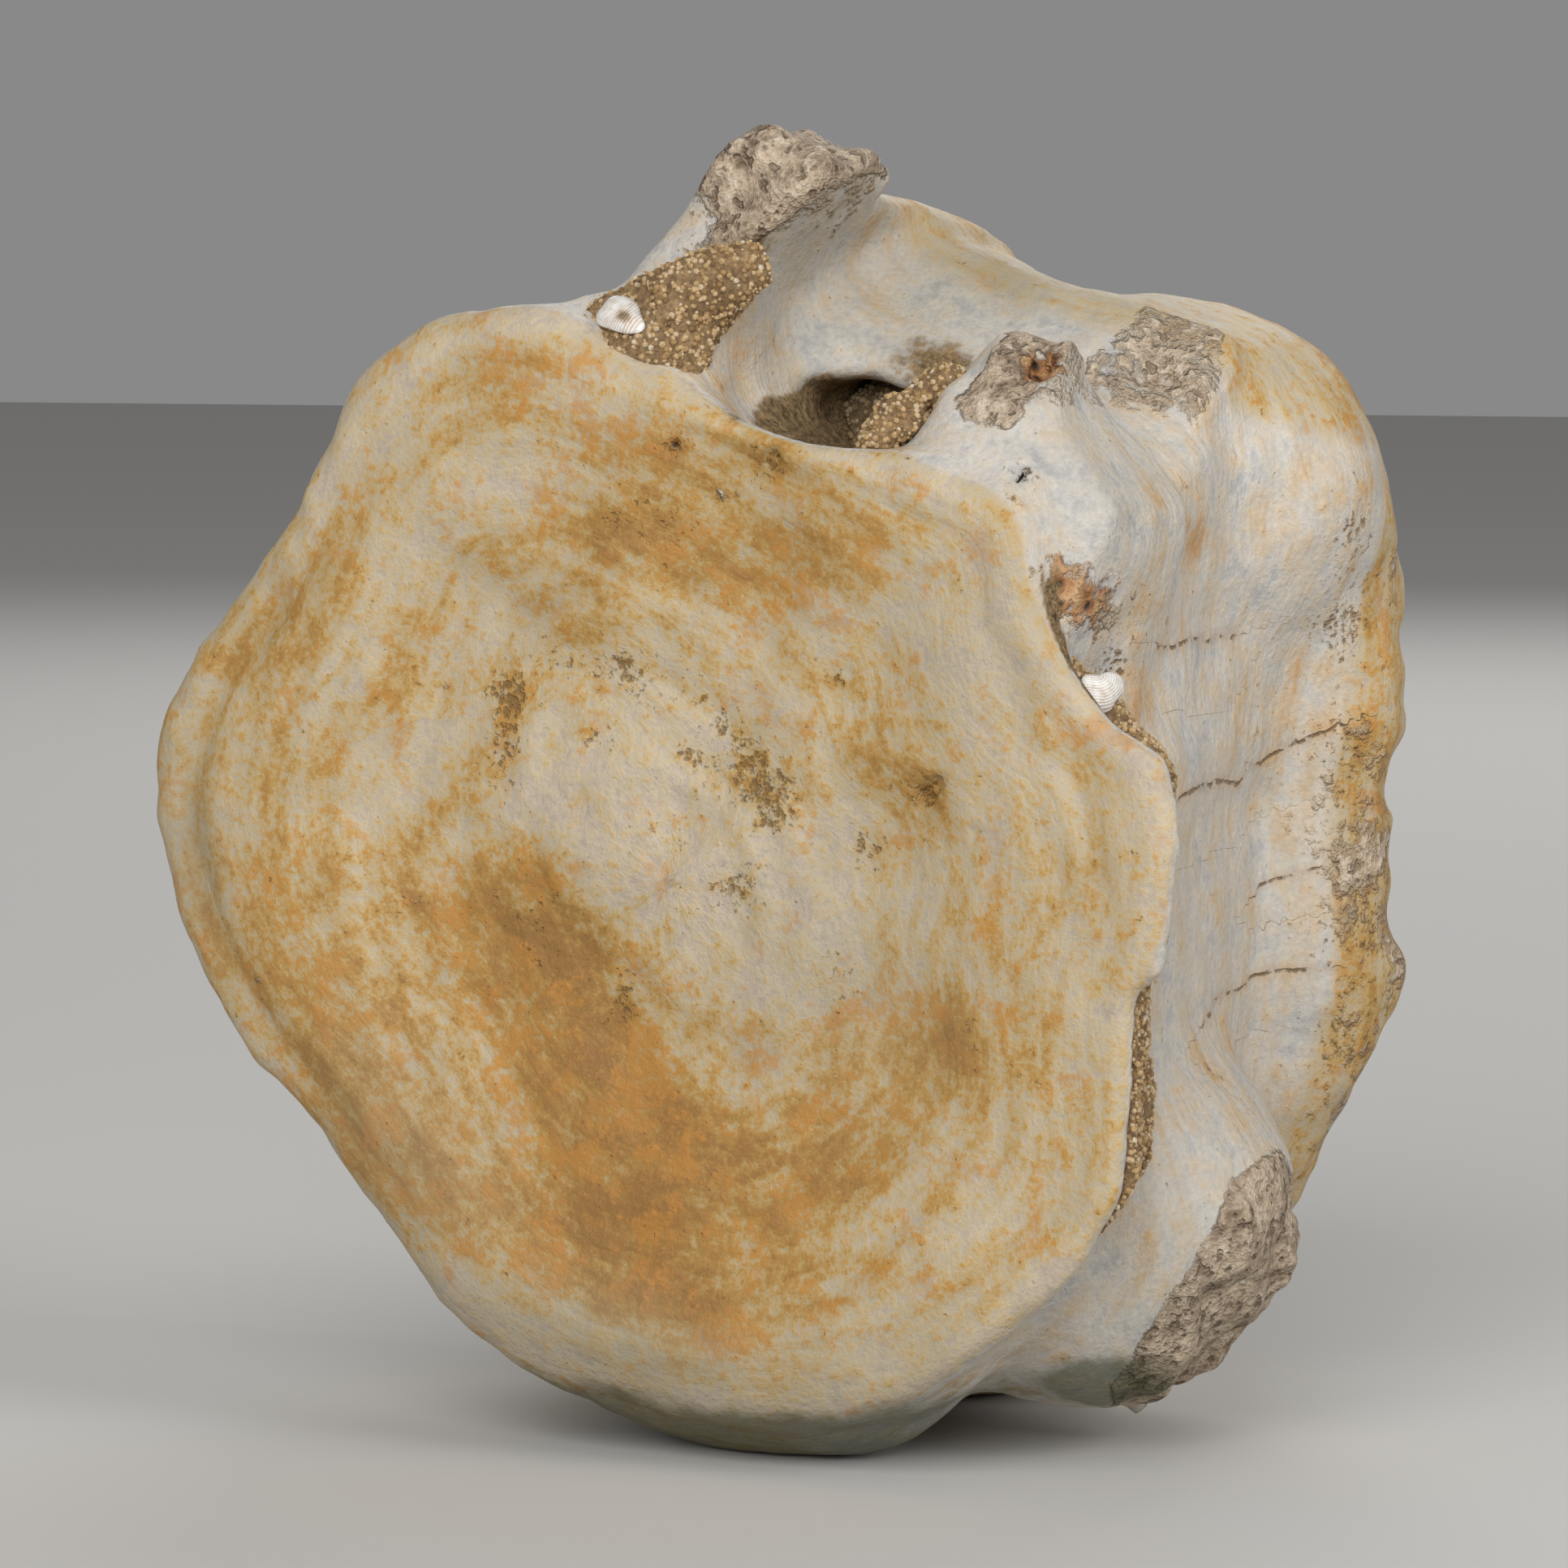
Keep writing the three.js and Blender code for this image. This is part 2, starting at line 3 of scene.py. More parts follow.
import bmesh
import bpy
import numpy as np
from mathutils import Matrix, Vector


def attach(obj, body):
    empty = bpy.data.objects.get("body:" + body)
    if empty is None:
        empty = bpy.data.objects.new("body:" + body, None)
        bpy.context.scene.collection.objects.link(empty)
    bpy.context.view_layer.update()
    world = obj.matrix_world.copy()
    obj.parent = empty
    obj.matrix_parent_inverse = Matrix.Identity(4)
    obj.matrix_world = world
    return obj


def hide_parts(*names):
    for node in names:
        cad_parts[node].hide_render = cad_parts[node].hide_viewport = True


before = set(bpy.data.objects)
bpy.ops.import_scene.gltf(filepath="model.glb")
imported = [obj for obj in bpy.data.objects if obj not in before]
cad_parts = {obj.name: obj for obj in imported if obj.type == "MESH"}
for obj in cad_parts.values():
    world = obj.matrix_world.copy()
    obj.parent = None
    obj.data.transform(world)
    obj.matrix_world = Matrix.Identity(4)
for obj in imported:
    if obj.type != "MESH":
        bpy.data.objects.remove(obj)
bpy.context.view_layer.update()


# ---- The vertebra
# One mineralised bone: a short spool of a centrum with a dished face, the broken neural arch on
# it and the stumps of the ribs. It is described as a field in millimetres, negative inside, on
# the bone's own axes: u across, v up through the arch, w from the front face to the back.

HALF_LENGTH = 20.0
BONE_CELL = 0.5  # between the points of its surface
LEAN = math.radians(20)  # the bone leans over to the right where it stands
REST_DEPTH = 34.9  # from the centrum's middle down to the worn flat it stands on
MIDDLE = (2.372, -0.737)  # the centrum's middle from the part's origin, across and along

# rims of the two end faces and the depth of the waist: angle from +u towards +v, millimetres
FRONT_RIM = [
    (-178, 37), (-170, 37.8), (-160, 36.6), (-145, 33.8), (-132, 30.8), (-120, 29.5),
    (-108, 30), (-95, 30.8), (-80, 31.2), (-65, 31.8), (-52, 32.8), (-40, 34),
    (-28, 34.4), (-17, 35.6), (-9, 35.3), (0, 33.4), (10, 32.4), (18, 33),
    (26, 34), (34, 34), (40, 31.8), (48, 30), (56, 30.4), (64, 32.2),
    (74, 30.6), (88, 29.2), (102, 29.4), (112, 30.8), (120, 33.8), (132, 36.8),
    (144, 36.9), (154, 35), (166, 34.2), (174, 35.6),
]
BACK_RIM = [
    (-170, 33), (-140, 32), (-110, 33.2), (-85, 35), (-68, 35.6), (-50, 35.2),
    (-30, 33.6), (-14, 32.2), (4, 32.2), (16, 31.7), (28, 31.6), (36, 33.8),
    (44, 35.2), (54, 36.6), (70, 31.5), (90, 29), (110, 31.5), (128, 35.2),
    (145, 34.5), (165, 33.2),
]
WAIST = [
    (-170, 4.5), (-130, 3.5), (-100, 1), (-75, 0.3), (-55, 0.4), (-40, 1.5),
    (-25, 2.5), (-8, 4), (10, 4.8), (30, 5.6), (50, 4), (70, 2.5),
    (110, 2.5), (130, 5), (150, 5.5),
]


def step(low, high, x):
    t = np.clip((x - low) / (high - low), 0, 1)
    return t * t * (3 - 2 * t)


def over(x):
    return np.maximum(x, 0)


def bell(x, width):
    return np.exp(-((x / width) ** 2))


def turn(angle, origin):
    return (angle - origin + 180) % 360 - 180


def by_angle(angle, middle, reach):
    return bell(turn(angle, middle), reach)


def away(u, v, w, centre, reach=(1, 1, 1)):
    """The distance from a centre, in units of its reach along each axis."""
    return np.sqrt(sum(((x - c) / s) ** 2 for x, c, s in zip((u, v, w), centre, reach)))


def join(a, b, fillet):
    """Union of two fields, with a fillet of about the given size."""
    h = np.maximum(fillet - np.abs(a - b), 0) / fillet
    return np.minimum(a, b) - h * h * fillet / 4


def cut(a, b, fillet):
    """What two fields share, with the edge between them rounded."""
    return -join(-a, -b, fillet)


def shared(*fields):
    """What fields share, with sharp edges."""
    return np.maximum.reduce(np.broadcast_arrays(*fields))


def lattice(i, j, k, seed):
    """A pseudo-random number from 0 to 1 for each point of a lattice."""
    word = 0xFFFFFFFF
    h = (i * 374761393 + j * 668265263 + k * 1440662683 + seed * 974634777) & word
    h = ((h ^ (h >> 13)) * 1274126177) & word
    h = ((h ^ (h >> 16)) * 2246822519) & word
    return (h ^ (h >> 15)) / 4294967296.0


def lumps(u, v, w, size, seed):
    """Smooth lumps from -1 to 1, about one to each step of the given size."""
    at = [x / size + 500.0 for x in (u, v, w)]
    low = [np.floor(x).astype(np.int64) for x in at]
    f = [step(0, 1, x - i) for x, i in zip(at, low)]
    total = 0
    for a in (0, 1):
        for b in (0, 1):
            for c in (0, 1):
                weight = (f[0] if a else 1 - f[0]) * (f[1] if b else 1 - f[1])
                weight = weight * (f[2] if c else 1 - f[2])
                total = total + weight * lattice(low[0] + a, low[1] + b, low[2] + c, seed)
    return total * 2 - 1


def ring(points, angle):
    """The value at an angle of a closed curve drawn smoothly through (angle, value) points."""
    at = np.array([p[0] for p in points], float)
    value = np.array([p[1] for p in points], float)
    n = len(at)
    a = (angle - at[0]) % 360 + at[0]
    i = np.searchsorted(at, a, side="right") - 1
    after = np.where(i + 1 < n, at[(i + 1) % n], at[0] + 360)
    f = (a - at[i]) / (after - at[i])
    p0, p1, p2, p3 = (value[(i + d) % n] for d in (-1, 0, 1, 2))
    bend = 2 * p0 - 5 * p1 + 4 * p2 - p3 + f * (3 * (p1 - p2) + p3 - p0)
    return p1 + 0.5 * f * (p2 - p0 + f * bend)


def polar(u, v):
    return np.hypot(u, v), np.degrees(np.arctan2(v, u))


def fracture(u, v, w, seed):
    """Broken bone: coarse crystals with a finer crumble on them."""
    return 0.7 * lumps(u, v, w, 4, seed) + 0.35 * lumps(u, v, w, 1.9, seed + 1)


def side_radius(u, v, w, angle):
    front = ring(FRONT_RIM, angle)
    back = ring(BACK_RIM, angle)
    r = front + (back - front) * step(-HALF_LENGTH, HALF_LENGTH, w)
    # the waist drops at once behind the thin right rim, and slowly behind the rolled left one
    crisp = by_angle(angle, 22, 34)
    drop = step(1 - HALF_LENGTH, 5 + 8 * (1 - crisp) - HALF_LENGTH, w)
    r = r - ring(WAIST, angle) * drop * (1 - step(8.5, 16.5, w))
    r = r - 1.7 * by_angle(angle, 14, 28) * bell(w + 15.5, 2.4)
    r = r - 3.4 * by_angle(angle, -8, 20) * step(-30, -15, angle) * bell(w + 15.6, 2.3)
    # the flank bulges out under the lower right of the face
    r = r + 3.4 * by_angle(angle, -58, 22) * bell(w + 10.5, 6)
    r = r + 1.9 * by_angle(angle, -86, 20) * bell(w + 9, 6)
    # a ridge runs down from the front peak, with a broken hollow between it and the rim
    r = r + 1.9 * by_angle(angle, 52, 12) * bell(w + 10.3, 1.5)
    r = r - 2.8 * by_angle(angle, 46, 12) * bell(w + 14.3, 3.4)
    # the rough collar of the back rim, and nibbled edges
    r = r + 0.9 * step(10.5, 13, w) * by_angle(angle, 5, 60)
    nibbled = by_angle(angle, 20, 45) + 1.2 * by_angle(angle, 162, 20)
    r = r + 0.75 * nibbled * bell(w + 19, 3) * lumps(u, v, w * 0.3, 4.2, 5)
    r = r + 0.35 * nibbled * bell(w + 19, 2.5) * lumps(u, v, w * 0.5, 1.9, 9)
    # bumps on the flank under the lower right of the face
    r = r + 0.6 * by_angle(angle, -40, 18) * bell(w + 12, 5) * lumps(u, v, w, 3.2, 10)
    chipped = 0.85 * lumps(u, v, w * 0.4, 4.6, 6) + 0.5 * lumps(u, v, w * 0.6, 2.3, 8) - 0.25
    return r + bell(w - 19, 3) * chipped


def front_dish(r, u, v, angle):
    """How far the front face is dished, with a low boss in its middle and growth rings."""
    q = r / ring(FRONT_RIM, angle)
    # the boss is an oval that leans to the right by 24 degrees, with an edge and a ridge
    lean_cos, lean_sin = 0.914, 0.407
    along = lean_cos * (u - 0.6) - lean_sin * (v - 1.9)
    across = lean_cos * (v - 1.9) + lean_sin * (u - 0.6)
    oval = np.hypot(along / 13, across / 7.5) + 0.08 * lumps(u, v, 0 * u, 5, 43)
    boss = 0.6 * bell(oval, 1.1) + 0.3 * step(1.12, 0.92, oval)
    boss = boss + 0.22 * bell(oval - 0.58, 0.09) * step(-2, 2, across)
    wander = 1.6 * np.sin(2 * np.radians(angle) + 0.6)
    rings = 0.25 * np.sin(r / 2.4 + wander) * step(6, 14, r) * (1 - step(0.84, 0.97, q))
    fine = np.sin(2.1 * r + 2.2 * wander + 2 * lumps(u, v, 0 * u, 9, 41)) * (1 - step(0.9, 1, q))
    rings = rings + 0.07 * fine * step(3, 8, r) * (0.6 + 0.6 * lumps(u, v, 0 * u, 12, 42))
    # along the upper right the dish begins with a low ledge, and the left rim is rolled
    ledge = 0.5 * step(0.94, 0.9, q) * by_angle(angle, 78, 34)
    rolled = 0.8 * bell(q - 0.87, 0.035) * by_angle(angle, 195, 45)
    return 1.9 * (1 - step(0.3, 0.93, q)) - boss + rings + ledge + rolled


def centrum(u, v, w):
    r, angle = polar(u, v)
    side = (r - side_radius(u, v, w, angle)) * 0.8
    front = -w - HALF_LENGTH + front_dish(r, u, v, angle)
    back = w - HALF_LENGTH + 1.8 * (1 - step(0.3, 0.95, r / 33))
    back = back + 0.22 * np.sin(r / 2.7 + u / 9) * step(5, 12, r) * step(31, 27, r)
    lip = 1.3 + 5 * by_angle(angle, 195, 70) + 2.4 * by_angle(angle, -85, 40)
    return cut(cut(side, front, lip), back, 2.6)


def wall(u, v, w, base, top, thickness, w_front, w_back, fillet):
    """A wall that leans from base to top, both (u, v), and runs from w_front to w_back."""
    length = math.hypot(top[0] - base[0], top[1] - base[1])
    du, dv = (top[0] - base[0]) / length, (top[1] - base[1]) / length
    up = (u - base[0]) * du + (v - base[1]) * dv
    aside = np.abs((u - base[0]) * dv - (v - base[1]) * du)
    t = np.clip(up / length, 0, 1)
    faces = aside - (thickness[0] + (thickness[1] - thickness[0]) * t)
    ends = cut(cut(faces, up - length, fillet), -up, fillet)
    return cut(cut(ends, w_front - w, fillet), w - w_back, fillet)


def left_front(u, v, w):
    """The broken front end of the left wall, which slopes back as it rises."""
    slope = -16.2 + 0.14 * (v - 28) + 0.16 * over(v - 33)
    return slope + 0.7 * fracture(u, v, w, 11) * step(31, 35, v) - w


def left_top(u, v, w):
    """Its broken top, which drops by a step to the roof of the canal."""
    top = 42.9 - 2.4 * step(-4.6, -3.9, w) - 0.06 * over(w + 4.5)
    top = top - 0.14 * over(w) - 0.08 * over(-10.5 - w) ** 2
    jagged = 0.7 * fracture(u, v, w, 11) + 0.9 * lumps(u, v, w, 3.4, 17)
    return v - top - jagged * step(-2, -5, w)


def left_wall(u, v, w):
    w_back = 17.5 - 0.15 * (v - 28)
    body = wall(u, v, w, (-15.8, 16), (-9.1, 45), (6.6, 2.9), -40, w_back, 3.4)
    body = cut(body, left_front(u, v, w), 3 - 1.6 * step(36, 40, v))
    return cut(body, left_top(u, v, w) * 0.95, 0.8)


def peak_top(u, v, w):
    """The broken top of the right wall's front peak, turned to the front."""
    top = 37.6 - 0.8 * over(-11.6 - w) - 0.2 * over(w + 11)
    return v - top + 0.7 * fracture(u, v, w, 11)


def right_peak(u, v, w):
    w_front = -17.4 + 0.28 * over(v - 29.5)
    w_back = -6.6 - 0.25 * (v - 30)
    body = wall(u, v, w, (13.4, 14), (6.9, 39.5), (7, 3.3), w_front, w_back, 2)
    # its outer side runs down to the right as a smooth flank
    flank_back = -7.2 - 0.3 * over(31.5 - v)
    flank = wall(u, v, w, (12.5, 14), (12.5, 40), (6.6, 6.6), w_front + 0.7, flank_back, 1.6)
    flank = cut(flank, ((v - 37.1) + 0.66 * (u - 9.6)) * 0.82, 0.8)
    return cut(join(body, flank, 1.2), peak_top(u, v, w) * 0.72, 0.5)


def right_wall(u, v, w):
    body = wall(u, v, w, (12.4, 10), (11.4, 38), (6.2, 6.4), -13, 15, 5)
    top = 34.2 - 0.28 * (u - 8) + 0.3 * over(w + 3)
    return cut(body, (v - top + 0.6 * fracture(u, v, w, 11)) * 0.8, 2.4)


def rear_front(u, v, w):
    """The front side of the arch's rear: smooth over the canal, broken over the right wall."""
    smooth = -6 + 1.15 * np.maximum(v - 31.5, -2)
    broken = -3 + 0.9 * np.maximum(v - 33, -2) + 1.1 * fracture(u, v, w, 11)
    return smooth + (broken - smooth) * step(4.5, 7, u) - w


def arch_rear(u, v, w):
    """The rear of the arch closes over the canal, with a rounded lobe on its right side."""
    front = rear_front(u, v, w)
    top = 39.5 + 0.6 * step(2, 10, u) - 0.17 * w
    block = (np.abs(u - 3) - 15 + 0.3 * over(v - 30)) * 0.9
    block = cut(block, (v - top) * 0.95, 2.2)
    block = cut(block, front * 0.7, 1.6)
    block = cut(block, w - 17.2 + 0.1 * over(v - 30), 3)
    block = cut(block, 20 - v, 1)
    lobe = away(u, v, w, (12.2, 29.3, 11), (11.7, 10.5, 10))
    return block, cut((lobe - 1) * 9.6, front * 0.7 - 2 * step(13, 17, u), 1)


def neural_arch(u, v, w):
    block, lobe = arch_rear(u, v, w)
    walls = join(join(left_wall(u, v, w), block, 3.5), right_wall(u, v, w), 4)
    return join(join(walls, lobe, 2.4), right_peak(u, v, w), 1.8 + 3 * step(32, 28, v))


def canal(u, v, w):
    """The neural canal: a tunnel under the arch's rear, open above in front of it."""
    middle = -0.9
    across = 5.4 - 0.8 * bell(w - 2, 9) + 1.2 * step(8, 18, w)
    floor = 25.8 + 2.6 * bell(w + 20, 3) + bell(w - 18, 4)
    roof = 32.6 + 0.6 * step(6, 18, w) - 2.3 * bell(w + 3.5, 4)
    centre, high = (floor + roof) / 2, (roof - floor) / 2
    tunnel = (np.hypot((u - middle) / across, (v - centre) / high) - 1) * np.minimum(across, high)
    up = over(v - 28.5)
    left = middle - 0.98 * across - 0.9 * up + 0.07 * up**2 - u
    right = u - middle - 0.98 * across - 0.25 * up
    trough = cut(np.maximum(left, right) * 0.8, centre - v, 2)
    trough = cut(trough, (w + 6.6 - 1.15 * (v - 31.5)) * 0.7, 2)
    return join(tunnel, trough, 2)


def splinter(u, v, w):
    """A splinter of the right rib stump that points down and out."""
    along = np.clip((u - 27) * 0.4 - (v + 13) * 0.917, 0, 11.6)
    du, dv = u - 27 - 0.4 * along, v + 13 + 0.917 * along
    return np.sqrt((du * 1.1) ** 2 + dv**2 + ((w - 3) * 0.66) ** 2) - (6.6 - 0.5 * along)


def stump_end(out, v, w, side):
    """The broken end of a rib stump."""
    seed, reach = (31, 39.4) if side > 0 else (37, 37.4)
    crumble = 0.9 * lumps(out, v, w, 4.4, seed) + 0.4 * lumps(out, v, w, 2, seed + 1)
    return out * 0.955 - v * 0.296 - reach + crumble


def rib_stump(u, v, w, side):
    out = u * side
    stump = (away(out, v, w, (26, -12.5, -0.5), (12.2, 12, 12.5)) - 1) * 10.5
    if side > 0:
        stump = join(stump, splinter(out, v, w), 1.6)
    return cut(stump, stump_end(out, v, w, side), 0.7)


def vessel_hole(u, v, w, angle):
    a = math.radians(angle)
    across = v * math.cos(a) - u * math.sin(a)
    depth = u * math.cos(a) + v * math.sin(a)
    hole = np.sqrt((across / 1.5) ** 2 + ((w - 1) / 2.3) ** 2 + ((depth - 34) / 3) ** 2)
    return (hole - 1) * 1.6


def bone(u, v, w):
    body = centrum(u, v, w)
    body = join(body, rib_stump(u, v, w, 1), 2.4)
    body = join(body, rib_stump(u, v, w, -1), 2.4)
    body = join(body, neural_arch(u, v, w), 5)
    body = cut(body, -canal(u, v, w), 2)
    for angle in (-100, -126):
        body = cut(body, -vessel_hole(u, v, w, angle), 0.6)
    body = body - 0.32 * lumps(u, v, w, 11, 1) - 0.14 * lumps(u, v, w, 4.6, 2)
    height = v * math.cos(LEAN) - u * math.sin(LEAN)
    return cut(body, -REST_DEPTH - height, 0.5)


# open pores, as (u, v, w, radius)
PORES = [
    (16.9, 26.2, -16, 0.55), (17.1, 25.4, -13.6, 0.45), (17.8, 24.5, -15.4, 0.5),
    (17.6, 24.9, -12.4, 0.5), (18.2, 23.9, -14.2, 0.45), (16.7, 27, -14.2, 0.4),
    (10.6, 36.3, -13.2, 0.75), (9.9, 37, -12.4, 0.5), (13.5, 30.6, -16.9, 0.55),
    (14.8, 30.2, -14.9, 0.4), (15.6, 29.2, -14.4, 0.45), (15.9, 28.4, -14.6, 0.35),
    (3.4, 8.6, -19.2, 0.7), (4.9, 7.9, -19.2, 0.5), (2.6, 7.4, -19.2, 0.45),
    (1.2, 9.6, -19.2, 0.5), (4.6, 10.2, -19.2, 0.4), (14.9, 11.6, -19.4, 0.7),
    (15.4, 12.6, -19.4, 0.5), (14.4, 10.8, -19.4, 0.4), (6.7, 15.5, -19.3, 0.35),
    (18.9, 10.9, -19.7, 0.25), (30, -13.8, -20, 0.3), (1.7, 21.5, -19.5, 0.22),
    (-32, -6.6, -19.3, 0.3), (-19.5, 25.2, -19.4, 0.3), (-0.9, 26.6, -19.8, 0.55),
    (-1.9, 25.6, -19.7, 0.45), (-7.3, 25, -19.4, 0.4),
]


def breaks(u, v, w):
    """1 on broken bone, fading to 0 on its natural surface."""
    arch = step(29, 33, v)
    left = arch * step(-3, -5, u)
    right = arch * step(3, 5, u)
    top = 0.9 * step(-1.6, -0.9, left_top(u, v, w)) * left * step(-4.4, -5.4, w)
    end = 0.72 * step(-1.2, -0.6, left_front(u, v, w)) * left * step(31.5, 35, v)
    end = end * (0.35 + 0.65 * step(-13.5, -11, u))
    peak = step(-0.8, -0.4, peak_top(u, v, w)) * right * step(-6.5, -8, w)
    peak = peak * step(11.6, 10.6, u + 0.2 * (v - 36))
    rear = 0.48 * step(-1.2, -0.7, rear_front(u, v, w)) * step(8, 9.2, u) * step(17, 15.4, u)
    rear = rear * step(34, 35.2, v)
    in_stump = step(14.5, 12.5, np.abs(w + 0.5))
    lower = stump_end(u, v, w, 1) + 1.6 * step(-22, -14, v) * step(-9, -5, w)
    stumps = [step(-2.6, -1.3, lower), step(-3, -1.5, stump_end(-u, v, w, -1))]
    hollow = bell(away(u, v, w, (17.6, 24.9, -14.4), (2.4, 2.6, 3.2)), 1)
    return shared(top, end, peak, rear, *(s * in_stump for s in stumps), hollow)


def weathered_bone(u, v, w):
    """The bone with the fine relief of its breaks, its pores and its weathered skin."""
    body = bone(u, v, w)
    crumble = 0.42 * lumps(u, v, w, 2.4, 21) + 0.3 * lumps(u, v, w, 1.2, 22)
    body = body + breaks(u, v, w) * (crumble + 0.1)
    on_side = 0.4 + 0.6 * step(-19.5, -16, w)
    body = body - on_side * (0.2 * lumps(u, v, w, 3.4, 23) + 0.1 * lumps(u, v, w, 1.6, 24))
    for *centre, radius in PORES:
        apart = away(u, v, w, centre, (1, 1, 1.5))
        body = np.where(apart < radius + 1.2, cut(body, radius - apart, 0.3), body)
    return body


def unpinch(value):
    """Where a cell face's corners lie by turns inside and outside, one is put outside."""
    for _ in range(20):
        pinched = 0
        for d, e in ((0, 1), (1, 2), (2, 0)):
            near = [slice(None)] * 3
            near[d] = near[e] = slice(0, -1)
            far_d, far_e, far = list(near), list(near), list(near)
            far_d[d] = far[d] = slice(1, None)
            far_e[e] = far[e] = slice(1, None)
            a, b, c, f = (value[tuple(s)] for s in (near, far_d, far, far_e))
            first = (a < 0) & (c < 0) & (b >= 0) & (f >= 0)
            second = (b < 0) & (f < 0) & (a >= 0) & (c >= 0)
            pinched += first.sum() + second.sum()
            a[first] = 0.01
            b[second] = 0.01
        if not pinched:
            return


def skin(field, low, high, cell):
    """The closed surface where a field is zero, as points and four-sided faces."""
    count = [4 * math.ceil((b - a) / cell / 4) + 1 for a, b in zip(low, high)]
    axes = [a + cell * np.arange(n) for a, n in zip(low, count)]
    # a coarse look first, then the fine one near the surface only
    coarse = field(*np.meshgrid(*[a[::4] for a in axes], indexing="ij"))
    pick = [np.round(np.arange(n) / 4).astype(int) for n in count]
    value = coarse[np.ix_(*pick)].copy()
    near = np.argwhere(np.abs(value) < 5.2 * cell + 0.6)
    places = [axes[d][near[:, d]] for d in range(3)]
    value[tuple(near.T)] = field(*places)
    unpinch(value)
    inside = value < 0
    corners = [(a, b, c) for a in (0, 1) for b in (0, 1) for c in (0, 1)]

    def corner(array, a, b, c):
        return array[a : count[0] - 1 + a, b : count[1] - 1 + b, c : count[2] - 1 + c]

    sums = sum(corner(inside, *c).astype(int) for c in corners)
    mixed = (sums > 0) & (sums < 8)
    cells = np.argwhere(mixed)
    index = -np.ones(mixed.shape, int)
    index[mixed] = np.arange(len(cells))
    total, crossings = np.zeros((len(cells), 3)), np.zeros(len(cells))
    for start in corners:
        for d in (d for d in range(3) if not start[d]):
            end = [1 if e == d else start[e] for e in range(3)]
            a = value[tuple((cells + start).T)]
            b = value[tuple((cells + end).T)]
            crossed = (a < 0) != (b < 0)
            at = np.tile(np.array(start, float), (len(cells), 1))
            at[:, d] += np.where(crossed, a / np.where(crossed, a - b, 1), 0)
            total += at * crossed[:, None]
            crossings += crossed
    points = np.array(low) + (cells + total / crossings[:, None]) * cell
    least = np.array(low) + (cells + 0.04) * cell
    # drawn onto the surface, but held inside each cell
    for _ in range(2):
        slope = np.stack([
            field(*(points + 0.05 * np.eye(3)[d]).T) - field(*(points - 0.05 * np.eye(3)[d]).T)
            for d in range(3)
        ], 1) / 0.1
        steep = np.maximum((slope**2).sum(1), 0.05)
        points = points - slope * (field(*points.T) / steep)[:, None]
        points = np.clip(points, least, least + 0.92 * cell)
    faces = []
    for d in range(3):
        e, f = (d + 1) % 3, (d + 2) % 3
        this, other = [slice(None)] * 3, [slice(None)] * 3
        this[d], other[d] = slice(0, -1), slice(1, None)
        edge = np.argwhere(inside[tuple(this)] != inside[tuple(other)])
        around = []
        for a, b in ((1, 1), (0, 1), (0, 0), (1, 0)):
            c = edge.copy()
            c[:, e] -= a
            c[:, f] -= b
            around.append(index[tuple(c.T)])
        around = np.stack(around, 1)
        # the bone's axes are left-handed, so a face that faces out is listed the other way
        out = inside[tuple(edge.T)]
        around[out] = around[out][:, ::-1]
        faces.append(around)
    return points, np.concatenate(faces)


def stand(points):
    """From the bone's axes to the part's, in metres."""
    u, v, w = np.asarray(points, float).T
    x = u * math.cos(LEAN) + v * math.sin(LEAN) + MIDDLE[0]
    z = v * math.cos(LEAN) - u * math.sin(LEAN) + REST_DEPTH
    return np.stack([x, w + MIDDLE[1], over(z)], 1) / 1000


def piece(name, points, faces, material):
    mesh = bpy.data.meshes.new(name)
    mesh.from_pydata(stand(points).tolist(), [], faces.tolist())
    mesh.polygons.foreach_set("use_smooth", [True] * len(mesh.polygons))
    mesh.materials.append(material)
    made = bpy.data.objects.new(name, mesh)
    bpy.context.scene.collection.objects.link(made)
    return made


def stain(made, name, amount):
    """Keeps an amount for each point of a piece, for its material to read."""
    layer = made.data.attributes.new(name, "FLOAT", "POINT")
    layer.data.foreach_set("value", np.clip(amount, -4, 4).astype(np.float32))


def blots(u, v, marks):
    """How strongly the marks (u, v, length, width, turn, strength) colour each point."""
    total = 0
    for a, b, length, width, tilt, strength in marks:
        c, s = math.cos(math.radians(tilt)), math.sin(math.radians(tilt))
        along, across = (u - a) * c + (v - b) * s, (v - b) * c - (u - a) * s
        total = total + strength * bell(np.hypot(along / length, across / width), 1)
    return total


def add(tree, kind, settings=None, **sockets):
    """Adds a node. A socket is given by its name, or by its place as _0, _1 and so on."""
    made = tree.nodes.new(kind)
    for name, value in (settings or {}).items():
        setattr(made, name, value)
    for name, value in sockets.items():
        place = int(name[1:]) if name[0] == "_" else name.replace("_", " ")
        if isinstance(value, bpy.types.NodeSocket):
            tree.links.new(value, made.inputs[place])
        else:
            made.inputs[place].default_value = value
    return made


def noise(tree, where, scale, detail=4, rough=0.55):
    made = add(tree, "ShaderNodeTexNoise",
               Vector=where, Scale=scale, Detail=detail, Roughness=rough)
    return made.outputs["Fac"]


def calc(tree, operation, *values):
    values = {f"_{place}": value for place, value in enumerate(values)}
    return add(tree, "ShaderNodeMath", {"operation": operation}, **values).outputs[0]


def sum_of(tree, *parts):
    """A sum of socket * weight pairs and plain numbers."""
    total = sum(p for p in parts if not isinstance(p, tuple))
    for socket, weight in (p for p in parts if isinstance(p, tuple)):
        total = calc(tree, "MULTIPLY_ADD", socket, weight, total)
    return total


def times(tree, a, b):
    return calc(tree, "MULTIPLY", a, b)


